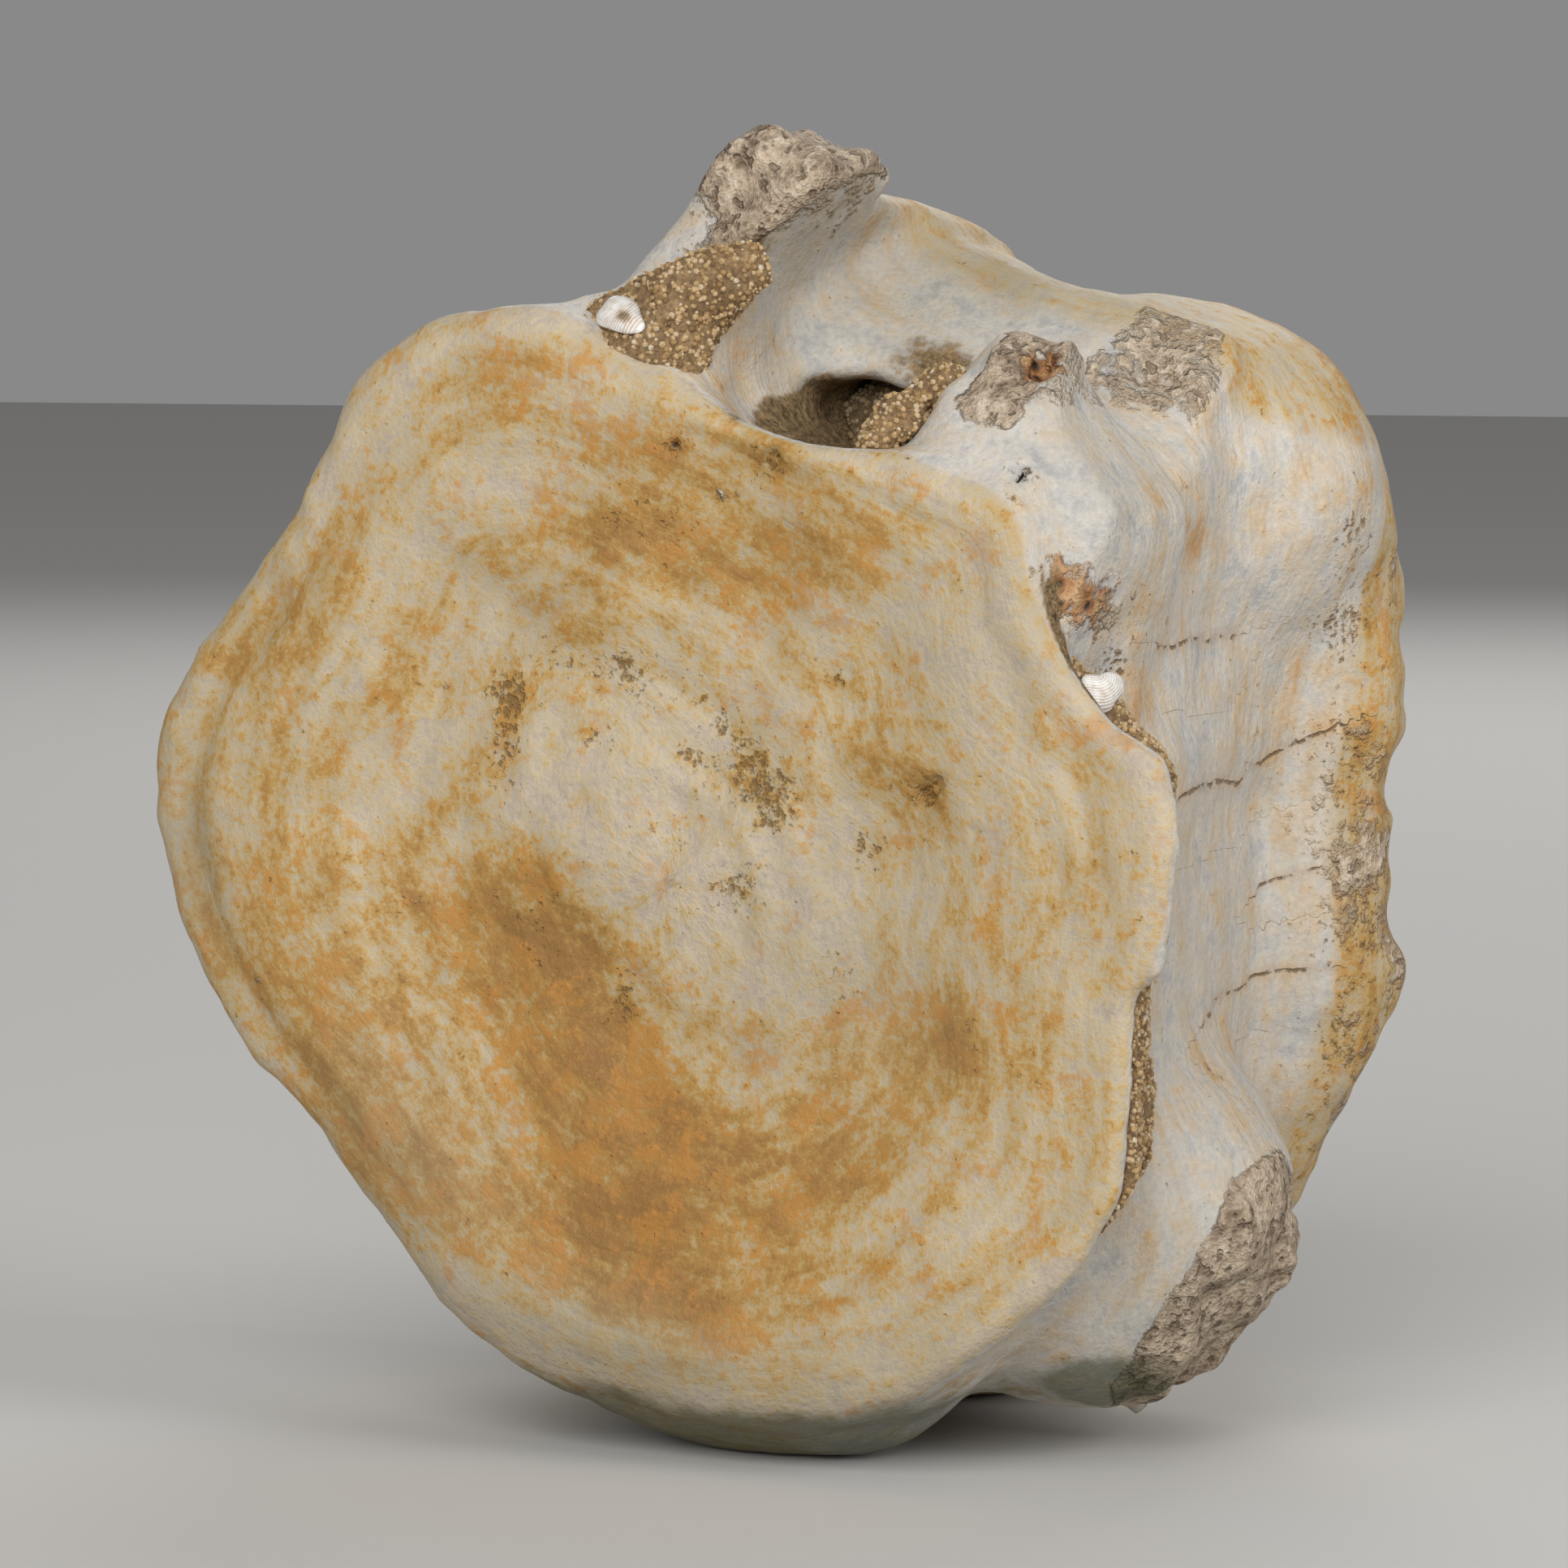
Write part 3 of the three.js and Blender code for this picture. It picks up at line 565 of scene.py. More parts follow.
def fade(tree, value, low, high, start=0, end=1):
    made = add(tree, "ShaderNodeMapRange", {"interpolation_type": "SMOOTHSTEP"},
               _0=value, _1=low, _2=high, _3=start, _4=end)
    return made.outputs[0]


def mask(tree, low, high, *parts):
    """0 where the parts add up to low or less, and 1 where they reach high."""
    return fade(tree, sum_of(tree, *parts), low, high)


def colours(tree, value, *stops):
    """A ramp of (position, colour) stops."""
    made = add(tree, "ShaderNodeValToRGB", Fac=value)
    ramp = made.color_ramp
    ramp.elements[0].position, ramp.elements[0].color = stops[0][0], (*stops[0][1], 1)
    ramp.elements[1].position, ramp.elements[1].color = stops[-1][0], (*stops[-1][1], 1)
    for position, colour in stops[1:-1]:
        ramp.elements.new(position).color = (*colour, 1)
    return made.outputs[0]


def blend(tree, amount, a, b, kind="MIX"):
    settings = {"data_type": "RGBA", "blend_type": kind, "clamp_factor": True}
    return add(tree, "ShaderNodeMix", settings, _0=amount, _6=a, _7=b).outputs[2]


def tint(tree, colour, where, strength, over_it):
    """Lays a plain colour over another one, at a strength, where there is a stain."""
    return blend(tree, times(tree, where, strength), colour, (*over_it, 1))


def kept(tree, name, output="Fac"):
    """What was kept under a name for each point of the piece."""
    return add(tree, "ShaderNodeAttribute", {"attribute_name": name}).outputs[output]


def new_material(name):
    """A material, with its tree, its shader and the place of each point on the piece."""
    made = bpy.data.materials.new(name)
    made.use_nodes = True
    tree = made.node_tree
    where = add(tree, "ShaderNodeTexCoord").outputs["Object"]
    return made, tree, tree.nodes["Principled BSDF"], where


def finish_material(tree, shader, colour, gloss, strength, distance, height):
    """Gives a shader its colour, roughness and bump."""
    bump = add(tree, "ShaderNodeBump", Strength=strength, Distance=distance, Height=height)
    for name, socket in (("Base Color", colour), ("Roughness", gloss), ("Normal", bump.outputs[0])):
        tree.links.new(socket, shader.inputs[name])


def bone_material():
    made, tree, shader, where = new_material("fossil_bone")
    stains = ("ochre_and_shade", "umber", "bare", "broken", "spongy", "dirt_and_shade", "green_and_shade", "crack", "grey_and_shade")
    amount = {name: kept(tree, name) for name in stains}
    rings = kept(tree, "rings", "Vector")
    broad = noise(tree, where, 110, 3, 0.6)
    patchy = noise(tree, where, 380, 4, 0.62)
    mottle = noise(tree, where, 1100, 3, 0.6)
    grain = noise(tree, where, 2600, 3, 0.75)
    banded = noise(tree, rings, 1, 3, 0.6)
    lined = noise(tree, rings, 2.7, 3, 0.65)
    crumb = noise(tree, where, 780, 3, 0.75)
    between = fade(tree, noise(tree, where, 1250, 2, 0.5), 0.56, 0.68)
    # grey-cream bone, stained yellow, ochre and brown by iron, with painted shade on the arch's top
    # in the same stain
    iron = sum_of(
        tree, -1.94, (amount["ochre_and_shade"], 0.33), (amount["umber"], 0.12), (broad, 0.4),
        (banded, 0.9), (lined, 0.65), (patchy, 0.75), (mottle, 0.85), (grain, 0.95),
    )
    colour = colours(
        tree, iron,
        (0.08, (0.475, 0.395, 0.305)), (0.26, (0.475, 0.395, 0.27)),
        (0.4, (0.455, 0.35, 0.205)), (0.54, (0.43, 0.29, 0.12)),
        (0.68, (0.37, 0.21, 0.055)), (0.9, (0.27, 0.14, 0.04)),
    )
    # orange rust in small spots, most of it where the iron stain is strong
    elsewhere = add(tree, "ShaderNodeVectorMath", {"operation": "ADD"},
                    _0=where, _1=(0.3, 0.1, 0.2)).outputs[0]
    rust = noise(tree, elsewhere, 300, 3, 0.7)
    rusty = mask(tree, 0.55, 0.74, (rust, 1), (amount["ochre_and_shade"], 0.06), (mottle, 0.4),
                 (grain, 0.35), -0.375)
    colour = tint(tree, colour, rusty, 0.6, (0.44, 0.2, 0.04))
    # the waist and the peak are cleaner: grey-white, with pink and orange streaks round the bone
    streak = sum_of(tree, (patchy, 0.75), (mottle, 0.45), (broad, 0.25), (banded, 0.5),
                    (lined, 0.45), (amount["ochre_and_shade"], 0.26), -0.7)
    clean = colours(
        tree, streak,
        (0.28, (0.43, 0.42, 0.41)), (0.42, (0.505, 0.475, 0.43)), (0.54, (0.5, 0.44, 0.36)),
        (0.66, (0.48, 0.38, 0.265)), (0.78, (0.46, 0.3, 0.16)), (0.95, (0.36, 0.2, 0.09)),
    )
    bared = mask(tree, 0.25, 0.75, (amount["bare"], 1), (patchy, 0.6), -0.3)
    colour = blend(tree, bared, colour, clean)
    # broken bone: grey-tan, pinkish in places, crumbly, with dark pores
    inner = colours(
        tree, sum_of(tree, (crumb, 0.9), (mottle, 0.5), (patchy, 0.6), (grain, 0.35), -0.67),
        (0.26, (0.2, 0.14, 0.09)), (0.42, (0.315, 0.235, 0.165)),
        (0.54, (0.405, 0.315, 0.225)), (0.66, (0.475, 0.385, 0.285)), (0.82, (0.58, 0.51, 0.42)),
    )
    inner = blend(tree, times(tree, between, 0.7), inner, (0.15, 0.095, 0.055, 1))
    exposed = mask(tree, 0.34, 0.66, (amount["broken"], 1), (broad, 1.2), (patchy, 1),
                   (mottle, 0.9), -1.55)
    colour = blend(tree, exposed, colour, inner)
    # spongy bone, rusted orange-brown, with black holes
    cells = add(tree, "ShaderNodeTexVoronoi", Vector=where, Scale=1000).outputs["Distance"]
    sponge = colours(
        tree, sum_of(tree, (cells, 0.8), (mottle, 0.5), -0.2),
        (0.19, (0.02, 0.012, 0.008)), (0.28, (0.17, 0.07, 0.025)),
        (0.42, (0.37, 0.17, 0.065)), (0.65, (0.46, 0.28, 0.14)),
    )
    spongy = mask(tree, 0.35, 0.6, (amount["spongy"], 1), (mottle, 0.9), -0.45)
    colour = blend(tree, spongy, colour, sponge)
    # umber specks, a thin grey wash that is mostly painted shade, brown dirt in the hollows with
    # painted shade in the canal, and painted shade underneath tinted dark green
    speck = noise(tree, where, 2300, 2, 0.65)
    dark = mask(tree, 0.63, 0.83, (amount["umber"], 0.2), (speck, 0.7), (mottle, 0.4), -0.05)
    colour = tint(tree, colour, dark, 0.9, (0.17, 0.095, 0.03))
    # painted shade: the grey wash darkens where less light falls
    colour = tint(tree, colour, amount["grey_and_shade"], 0.55, (0.195, 0.18, 0.13))
    # brown dirt, and painted shade inside the canal
    dirt_and_shade_mask = mask(tree, 0.3, 0.7, (amount["dirt_and_shade"], 1), (mottle, 0.9), (grain, 0.4), -0.65)
    soil_and_shade = colours(tree, grain, (0.35, (0.07, 0.045, 0.02)), (0.65, (0.25, 0.165, 0.08)))
    colour = blend(tree, dirt_and_shade_mask, colour, soil_and_shade)
    # painted shade on the underside and under the right rib stump, tinted dark green
    green_and_shaded = mask(tree, 0.1, 0.9, (amount["green_and_shade"], 1), (patchy, 0.9), (mottle, 0.6), -0.85)
    colour = tint(tree, colour, green_and_shaded, 0.7, (0.045, 0.055, 0.02))
    # hair cracks that come and go, each with a rusty halo
    line = sum_of(tree, (amount["crack"], 1), (broad, 3), (patchy, 1), (mottle, 0.3), -2.15)
    line = calc(tree, "ABSOLUTE", line)
    halo = fade(tree, line, 0.1, 0.7, 0.35, 0)
    line = fade(tree, line, 0.03, 0.15, 1.0, 0.0)
    line = times(tree, line, mask(tree, 0.42, 0.58, (mottle, 1), (patchy, 1), -0.5))
    colour = blend(tree, halo, colour, (0.42, 0.28, 0.16, 1))
    colour = tint(tree, colour, line, 0.85, (0.17, 0.1, 0.04))
    # fine grain all over
    fine = sum_of(tree, (grain, 0.7), (mottle, 0.55), (patchy, 0.55), -0.4)
    fine = colours(tree, fine, (0.3, (0.37, 0.37, 0.37)), (0.7, (0.63, 0.63, 0.63)))
    colour = blend(tree, 0.6, colour, fine, "OVERLAY")
    shader.inputs["Specular IOR Level"].default_value = 0.3
    gloss = sum_of(tree, 0.42, (mottle, 0.25), (exposed, 0.2), (dirt_and_shade_mask, 0.2))
    height = sum_of(
        tree, (grain, 0.18), (mottle, 0.35), (patchy, 0.5), (banded, 0.3), (lined, 0.35),
        (times(tree, exposed, between), -1), (times(tree, exposed, crumb), 2.6),
        (times(tree, spongy, cells), 1.8), (line, -0.6), (dark, -0.4),
    )
    finish_material(tree, shader, colour, gloss, strength=0.85, distance=0.00042, height=height)
    return made


points, faces = skin(weathered_bone, (-42, -41, -24), (42, 47, 24), BONE_CELL)
vertebra = piece("bone_surface", points, faces, bone_material())
u, v, w = points.T
r, angle = polar(u, v)
height = v * math.cos(LEAN) - u * math.sin(LEAN)
normal = np.empty(len(points) * 3, np.float32)
vertebra.data.vertex_normals.foreach_get("vector", normal)
_, away_from_front, upward = normal.reshape(-1, 3).T
facing, down = -away_from_front, -upward

# which part of the bone each point is on
q = r / ring(FRONT_RIM, angle)
front = step(-14.5, -17, w) * step(0.1, 0.5, facing) * step(1.03, 0.99, q)
back = step(16.5, 18.5, w) * step(-0.1, -0.5, facing)
side = (1 - front) * (1 - back) * step(-66, -48, angle) * step(165, 135, angle)


def spots(marks):
    """How strongly the marks (u, v, w, reach, strength) colour each point."""
    return sum(s * bell(away(u, v, w, centre), reach) for *centre, reach, s in marks)


# iron stain, and painted shade on the top of the arch
ochre_and_shade = front * blots(u, v, [
    (-6.5, -5.5, 5, 4, 0, 0.9), (-3.3, -9.8, 6, 5, -50, 1), (2.6, -14.7, 6, 5, 0, 1.2),
    (9, -13, 8, 4, 0, 0.5), (-6.1, -23.2, 8, 4, -20, 0.35), (1, -22, 8, 4.5, 0, 0.7),
    (8, -21.6, 8, 5, 10, 0.9), (17.9, -18.6, 7, 4, 30, 0.55), (20.6, -2.9, 6, 5, 60, 0.75),
    (17, -9, 6, 4, 60, 0.5), (-18, 26.1, 5, 1.7, 25, 0.9), (-11, 17.9, 5, 3.6, 30, 0.7),
    (1.2, 21, 7, 3, 20, 0.85), (-2.1, 26.9, 3.2, 1.4, 0, 0.8), (-8.2, 24.6, 3.4, 1.4, 10, 0.6),
    (-28.2, 8.1, 3, 5, 10, 0.4), (-27.4, -1.1, 3.4, 6, 10, 0.15), (-25.4, -8.3, 4, 6, 25, 0.35),
    (-18.9, -16.3, 8, 6, -40, 0.6), (-12.5, -20.6, 6, 4, -30, 0.5), (-12.7, 4.8, 2, 4.5, 0, 0.7),
    (-7.7, 20.2, 4, 2, 20, 0.6), (26.4, 15.8, 3, 3, 0, -0.35), (26.9, 9.9, 1.6, 3, 0, 0.6),
    (3.4, 8.8, 3, 3, 0, 0.5), (14.7, 11.6, 1.6, 1.6, 0, 0.5), (-30.8, -10.5, 2.4, 8, 25, 0.5),
    (0.6, 1.9, 12, 6.5, -24, -0.45), (-9.9, -7.4, 4, 3, 0, 0.7), (-7.2, 2.7, 7, 6, 0, -0.5),
    (7, 3.3, 8, 5, -40, -0.45), (13.8, 0.4, 5, 4, 0, -0.4), (14.7, 20.7, 7, 5, 0, -0.35),
    (-19.8, 27.9, 6, 1.3, 20, -0.6), (27.6, 0.5, 5, 10, 0, -0.15), (6.6, -27.3, 16, 2.2, 0, -0.7),
    (24.4, -21, 6, 5, 30, -0.6), (12, -1, 5, 3, -40, 0.5),
])
ochre_and_shade = ochre_and_shade + (0.32 - 0.3 * step(0.88, 0.99, q)) * front + 0.55 * step(11, 14, w) * side
# painted shade: the top of the arch, from its middle back, is darkened with the stain against the
# light from above
ochre_and_shade = ochre_and_shade + 0.22 * step(35, 38, v) * step(-1, 3, w)
ochre_and_shade = ochre_and_shade + back * (0.1 + blots(u, v, [
    (12, 4, 8, 6, 30, 0.6), (-9, -12, 9, 6, -30, 0.7), (4, -20, 10, 5, 0, 0.5),
    (-18, 8, 6, 8, 0, 0.5), (17, -14, 6, 5, 0, 0.4),
]))
ochre_and_shade = ochre_and_shade + spots([
    (19, 29.1, -5.2, 1.3, 1), (19.2, 28.6, -2.5, 1.5, 0.9), (19.4, 28.4, 0.5, 1.3, 0.8),
    (20.8, 28.8, 3.9, 1.5, 0.6), (18, 30.6, -10.3, 1.2, 1.1), (18, 27.7, -10.8, 1.3, 1.2),
    (18.8, 26, -10.3, 1.2, 1), (19.4, 24.6, -9.8, 1.5, 1.1), (20.6, 21.5, -9.8, 1.6, 0.7),
    (22, 19, -9.6, 2, 0.8), (13, 37.3, -0.5, 1.6, 0.9), (22.5, 33.5, 9, 4, 0.7),
    (12.5, 34.5, -3, 3, 0.3), (33, -9, -13.5, 4.5, 0.45), (32, 6, -14, 4, 0.4),
    (24, 20, 8, 5, 0.2), (29, 0, 2, 5, 0.15),
])
stain(vertebra, "ochre_and_shade", ochre_and_shade)

# the growth rings run round the dish, on round the waist and in again on the back face
swirl = np.arctan2(v - 0.5, u - 1)
outward = front * 11 * q + (1 - front - back) * (11 + 0.45 * (w + 19))
outward = outward + back * (17 + 11 * r / ring(BACK_RIM, angle))
rings = np.stack([2.2 * np.cos(swirl), 2.2 * np.sin(swirl), outward + 0.5 * np.sin(2 * swirl)], 1)
layer = vertebra.data.attributes.new("rings", "FLOAT_VECTOR", "POINT")
layer.data.foreach_set("vector", np.ascontiguousarray(rings, np.float32).ravel())

# umber specks in clusters
umber = front * blots(u, v, [
    (-12.7, 4.8, 1.6, 4, 8, 0.9), (-8, 10.5, 6, 1.2, 10, 0.6), (3.6, 8.4, 3, 2.4, 0, 1),
    (14.7, 11.6, 1.6, 1.6, 0, 1), (-7.7, 20.2, 4, 2, 20, 0.5), (-6.5, -5.5, 4, 3, 0, 0.4),
    (-0.8, 7.8, 1.2, 0.9, 0, 0.9), (5.8, 6.6, 1.2, 1.6, 0, 0.9), (-6.1, 11.2, 2, 0.7, -30, 0.8),
    (-13.4, 7, 1.5, 1, 0, 0.8), (0.4, 10.4, 2.4, 0.7, -15, 0.8), (7.3, 15.8, 1, 0.8, 0, 1),
    (12.1, 7.1, 1.3, 1.3, 0, 0.8), (5.1, 1.8, 2, 1.6, 0, 0.9), (12.9, -1.1, 1.6, 1.6, 0, 0.6),
    (0, -7.9, 1.2, 2, 0, 0.8), (-6.5, 6.7, 1.4, 0.7, 0, 0.8), (-7.3, 25, 1, 1, 0, 1),
    (-1.2, 26, 1.6, 1.2, 0, 1),
]) + spots([
    (13.3, 30.8, -17.6, 0.8, 1.1), (14, 29.2, -18.6, 0.7, 1.1), (14.8, 30.4, -15.1, 0.8, 1.6),
    (15.4, 29.4, -14.6, 1, 1.6), (16, 28.3, -14.7, 0.8, 1.5), (15.3, 29.6, -15.7, 0.8, 1.3),
    (18, 28.5, -11.2, 1, 1), (19.2, 24.8, -10.6, 1.3, 1), (20.6, 21.6, -11.5, 1.5, 0.9),
    (18.6, 20.6, -12.4, 1.8, 0.9), (-12.3, 36.2, -15.6, 1.6, 1.2), (23.2, 30.5, 9.5, 2.2, 1),
    (23.9, 24.5, 12, 3, 0.9), (26, 17, 14, 3, 0.8), (30, 7, 15, 3, 0.8),
    (31.5, 0, 15, 3, 0.8),
])
stain(vertebra, "umber", umber)

# bare of stain on the waist and the arch, but not on the back rim's collar or the arch's rear
bare = side * (1 - 0.9 * step(11.5, 14, w) * step(60, 50, angle))
stain(vertebra, "bare", bare * (1 - 0.85 * step(34, 37, v) * step(-1, 3, w)))
broken = breaks(u, v, w) + 0.3 * step(11.5, 13.5, w) * side * step(62, 52, angle)
stain(vertebra, "broken", broken + 0.42 * step(36, 39, v) * step(-3, -5, u) * step(-3, -7, w))
spongy = 1.3 * bell(away(u, v, w, (17.2, 25.3, -15.6), (2.8, 2.5, 3.2)), 1)
spongy = spongy + bell(away(u, v, w, (10.5, 36.4, -12.9), (1.5, 1.5, 1.3)), 1)
stain(vertebra, "spongy", spongy)

# brown dirt with painted shade in the canal, and dirt round the foot of the arch and in the crevice
# behind the front rim
canal_dirt_and_shade = bell(canal(u, v, w), 1.2) * step(-16, -12, w)
canal_dirt_and_shade = canal_dirt_and_shade * step(30.5, 28, v + 0.8 * lumps(u, v, w, 3, 61))
canal_dirt_and_shade = canal_dirt_and_shade * step(-7.8, -5.2, u) + spots([
    (-5.2, 30.5, 3.5, 3, 1.1), (-5.7, 29.2, -1, 2.6, 1.1), (-5.6, 27.6, -5.5, 2, 1),
    (-4.5, 27.6, -11, 2, 0.5), (-4.2, 27.6, -18.6, 1.6, 0.6), (-0.8, 27.2, -18.8, 1.4, 0.5),
    (-1, 33, -4.6, 2.8, 0.6), (1.8, 33.2, -4.6, 2.2, 0.55), (-9.5, 36.5, -13.5, 2.4, 0.5),
    (-7.6, 34.4, -13, 2, 0.5), (-7.4, 31.5, -14.6, 1.8, 0.5), (-13.8, 32.2, -16.4, 1.6, 0.5),
])
crevice_dirt = 0.6 * bell(w + 15.5, 2) * step(-24, -16, angle) * step(45, 38, angle)
notch_dirt = 0.9 * bell(w + 18.6, 0.9) * step(36, 44, angle) * step(60, 54, angle) * side
stain(vertebra, "dirt_and_shade", canal_dirt_and_shade + crevice_dirt + notch_dirt)

# painted shade on the faces turned down near the bottom and in the hollow under the right rib
# stump, tinted dark green; and a grey wash that is mostly painted shade
green_and_shade = step(0.3, 0.9, down) * step(-26, -33.5, height) * step(-2, -8, w)
green_and_shade = green_and_shade + 0.15 * step(-26, -34, height) * step(-8, -14, w)
green_and_shade = green_and_shade + spots([
    (33.3, -20, -6.1, 2.6, 1.2), (31.9, -19.8, -7.9, 2.2, 1), (34.2, -20.7, -2.7, 2.2, 1),
])
stain(vertebra, "green_and_shade", green_and_shade)
# a grey wash that is mostly painted shade: on the face's right side and its lower and left edges,
# on the arch's top and its right peak, and at the broken end of the right rib stump
grey_and_shade = front * blots(u, v, [
    (15.3, 21, 7, 5, 0, 0.38), (13.5, 0.2, 7, 6, 0, 0.5), (6.9, 3.2, 5, 4, 0, 0.15),
    (24.8, -20.7, 7, 4, 30, 0.45), (7, -27, 12, 3, 10, 0.9), (-30.6, -10.4, 3, 7, 25, 0.65),
    (-12, -20.3, 6, 4, -35, 0.45), (-5.8, -23, 5, 3, -10, 0.3),
]) + spots([
    (2, 39, 4, 6, 0.6), (-2.7, 38.3, 2.5, 5, 0.5), (-4, 35, -3, 5, 0.5), (-7.5, 35, -8, 4, 0.35),
    (-6.5, 30, -9, 3, 0.2), (-10, 42, -8, 4, 0.3), (9, 39.5, 6, 4, 0.4),
    (15.3, 30.8, -13.1, 5, 0.45), (35, -15, -6, 6, 0.35),
])
stain(vertebra, "grey_and_shade", np.clip(grey_and_shade, 0, 1))

# hair cracks round the waist, as (angle, w from, w to, slope), kept as the distance from one
CRACKS = [
    (48, -7, 3.5, -0.02), (30, -6, 6, 0.06), (17, 9, 12, 0.5), (33.5, 7, 12.5, 0.2),
    (2, 0, 12, 0.25),
]
FAR = 4.0
crack = np.full(len(points), FAR)
for start, w_from, w_to, slope in CRACKS:
    beyond = np.maximum(np.maximum(w_from - w, w - w_to), 0)
    arc = r * np.radians(turn(angle, start)) - slope * (w - w_from)
    arc = np.where(arc < 0, -1, 1) * (np.abs(arc) + beyond)
    crack = np.where(np.abs(arc) < np.abs(crack), arc, crack)
stain(vertebra, "crack", crack)
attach(vertebra, "root")
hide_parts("vertebra")

# ---- The sandy matrix
# What is left of the sandstone that the bone was buried in: brown sand, loosely cemented, in the
# corner at the foot of the left wall, in the neural canal and in the crevice behind the right rim.

SAND_CELL = 0.36  # between the points of its surface
CLEAR = 0.3  # how far the matrix is sunk into the bone it sticks to
GRAIN_DENSITY = 7e6  # grains to a square metre
GRAIN_RADIUS = 0.00019  # metres
# balls (u, v, w, radius) that the matrix in the corner and the crust in the canal run together from
CORNER = [
    (-15.4, 29.2, -16.8, 1.7), (-12.9, 30.3, -16.6, 2.6), (-11.2, 28.9, -17, 2),
    (-8.9, 28, -17.4, 1), (-11, 33, -15.5, 2.4), (-9.2, 35.2, -14.7, 1.8),
]
CRUST = [
    (4.2, 29.6, -17.4, 0.9), (4.6, 31, -15.6, 1.2), (5.2, 33.2, -13.4, 1.2),
    (4.9, 31.8, -10.4, 1.6), (3.4, 30.2, -6.4, 2), (2, 29.2, -2.6, 2.4),
]
# the two chips of shell that it holds: middle, the way they face, and length, width and thickness
CORNER_CHIP = {
    "centre": (-14, 30.7, -18.4), "facing": (-0.25, 0.45, -0.86), "size": (3.8, 2.4, 0.8),
}
RIM_CHIP = {"centre": (21.8, 20.7, -16), "facing": (0.62, 0.62, -0.48), "size": (2.6, 3.6, 0.8)}


def balls(centres, u, v, w, fillet):
    """Balls run together as one field."""
    total = None
    for *centre, radius in centres:
        ball = away(u, v, w, centre) - radius
        total = ball if total is None else join(total, ball, fillet)
    return total


def crumb(u, v, w):
    """The crumbly surface of loosely cemented sand."""
    return 0.35 * lumps(u, v, w, 2.6, 51) + 0.2 * lumps(u, v, w, 1.1, 52)


def chip_room(chip, u, v, w):
    """The hollow in the matrix that a chip lies in."""
    a, b, c = (x - y for x, y in zip((u, v, w), chip["centre"]))
    above = a * chip["facing"][0] + b * chip["facing"][1] + c * chip["facing"][2]
    around = np.sqrt(a**2 + b**2 + c**2) - chip["size"][1] - 0.1
    return shared(around, -0.5 * chip["size"][2] - above)


def corner_matrix(u, v, w):
    body = balls(CORNER, u, v, w, 2.5) + crumb(u, v, w)
    room = -chip_room(CORNER_CHIP, u, v, w)
    return shared(body, -CLEAR - bone(u, v, w), room, -18.9 - w)


def canal_matrix(u, v, w):
    front = -2 + 0.6 * (v - 29) + 0.8 * lumps(u, v, w, 3.2, 54) - w
    plug = shared(canal(u, v, w), front, w - 15, v - 34.5)
    body = join(plug, balls(CRUST, u, v, w, 3), 2.5) + 1.3 * crumb(u, v, w)
    return shared(body, -CLEAR - bone(u, v, w))


def rim_matrix(u, v, w):
    r, angle = polar(u, v)
    thin = 0.9 * by_angle(angle, 27, 7) - 0.9 * by_angle(angle, 44, 11)
    thin = thin - 0.5 * by_angle(angle, -14, 20) + 1.3 * step(-5, -17, angle)
    outer = ring(FRONT_RIM, angle) - 0.9 - thin - 0.33 * (w + 18)
    ragged = lumps(u, v, w, 4.8, 55) + 0.4 * lumps(u, v, w, 2.1, 56)
    ends = (np.abs(turn(angle, 17)) - 36 + 5 * ragged) * 0.5
    back = (w + 12.8 + 2.6 * ragged) * 0.7
    inner = 0.8 * ring(FRONT_RIM, angle) - r
    room = -chip_room(RIM_CHIP, u, v, w)
    outer = r - outer + crumb(u, v, w)
    return shared(outer, ends, inner, -18.4 - w, back, -CLEAR - bone(u, v, w), room)


def sand_material():
    """Brown cement, with grains of their own tones from brown to clear quartz."""
    made, tree, shader, where = new_material("sandy_matrix")
    grain, deep_shade = kept(tree, "grain"), kept(tree, "deep_shade")
    cement = noise(tree, where, 2600, 3, 0.7)
    patch = noise(tree, where, 500, 3, 0.6)
    base = colours(
        tree, sum_of(tree, (cement, 0.8), (patch, 0.5), -0.15),
        (0.3, (0.085, 0.05, 0.022)), (0.5, (0.2, 0.125, 0.06)), (0.72, (0.36, 0.245, 0.125)),
    )
    sand = colours(
        tree, grain,
        (0, (0.13, 0.08, 0.035)), (0.2, (0.3, 0.18, 0.075)), (0.45, (0.47, 0.31, 0.145)),
        (0.75, (0.56, 0.4, 0.22)), (0.95, (0.6, 0.48, 0.32)), (1, (0.68, 0.6, 0.48)),
    )
    is_grain = fade(tree, grain, 0, 0.02)
    colour = blend(tree, is_grain, base, blend(tree, 0.2, sand, base))
    # painted shade: the sand darkens deeper in the canal
    colour = tint(tree, colour, deep_shade, 0.6, (0.03, 0.022, 0.01))
    shader.inputs["Specular IOR Level"].default_value = 0.3
    gloss = sum_of(tree, 0.7, (cement, 0.25))
    finish_material(tree, shader, colour, gloss, strength=0.6, distance=0.0002, height=cement)
    return made


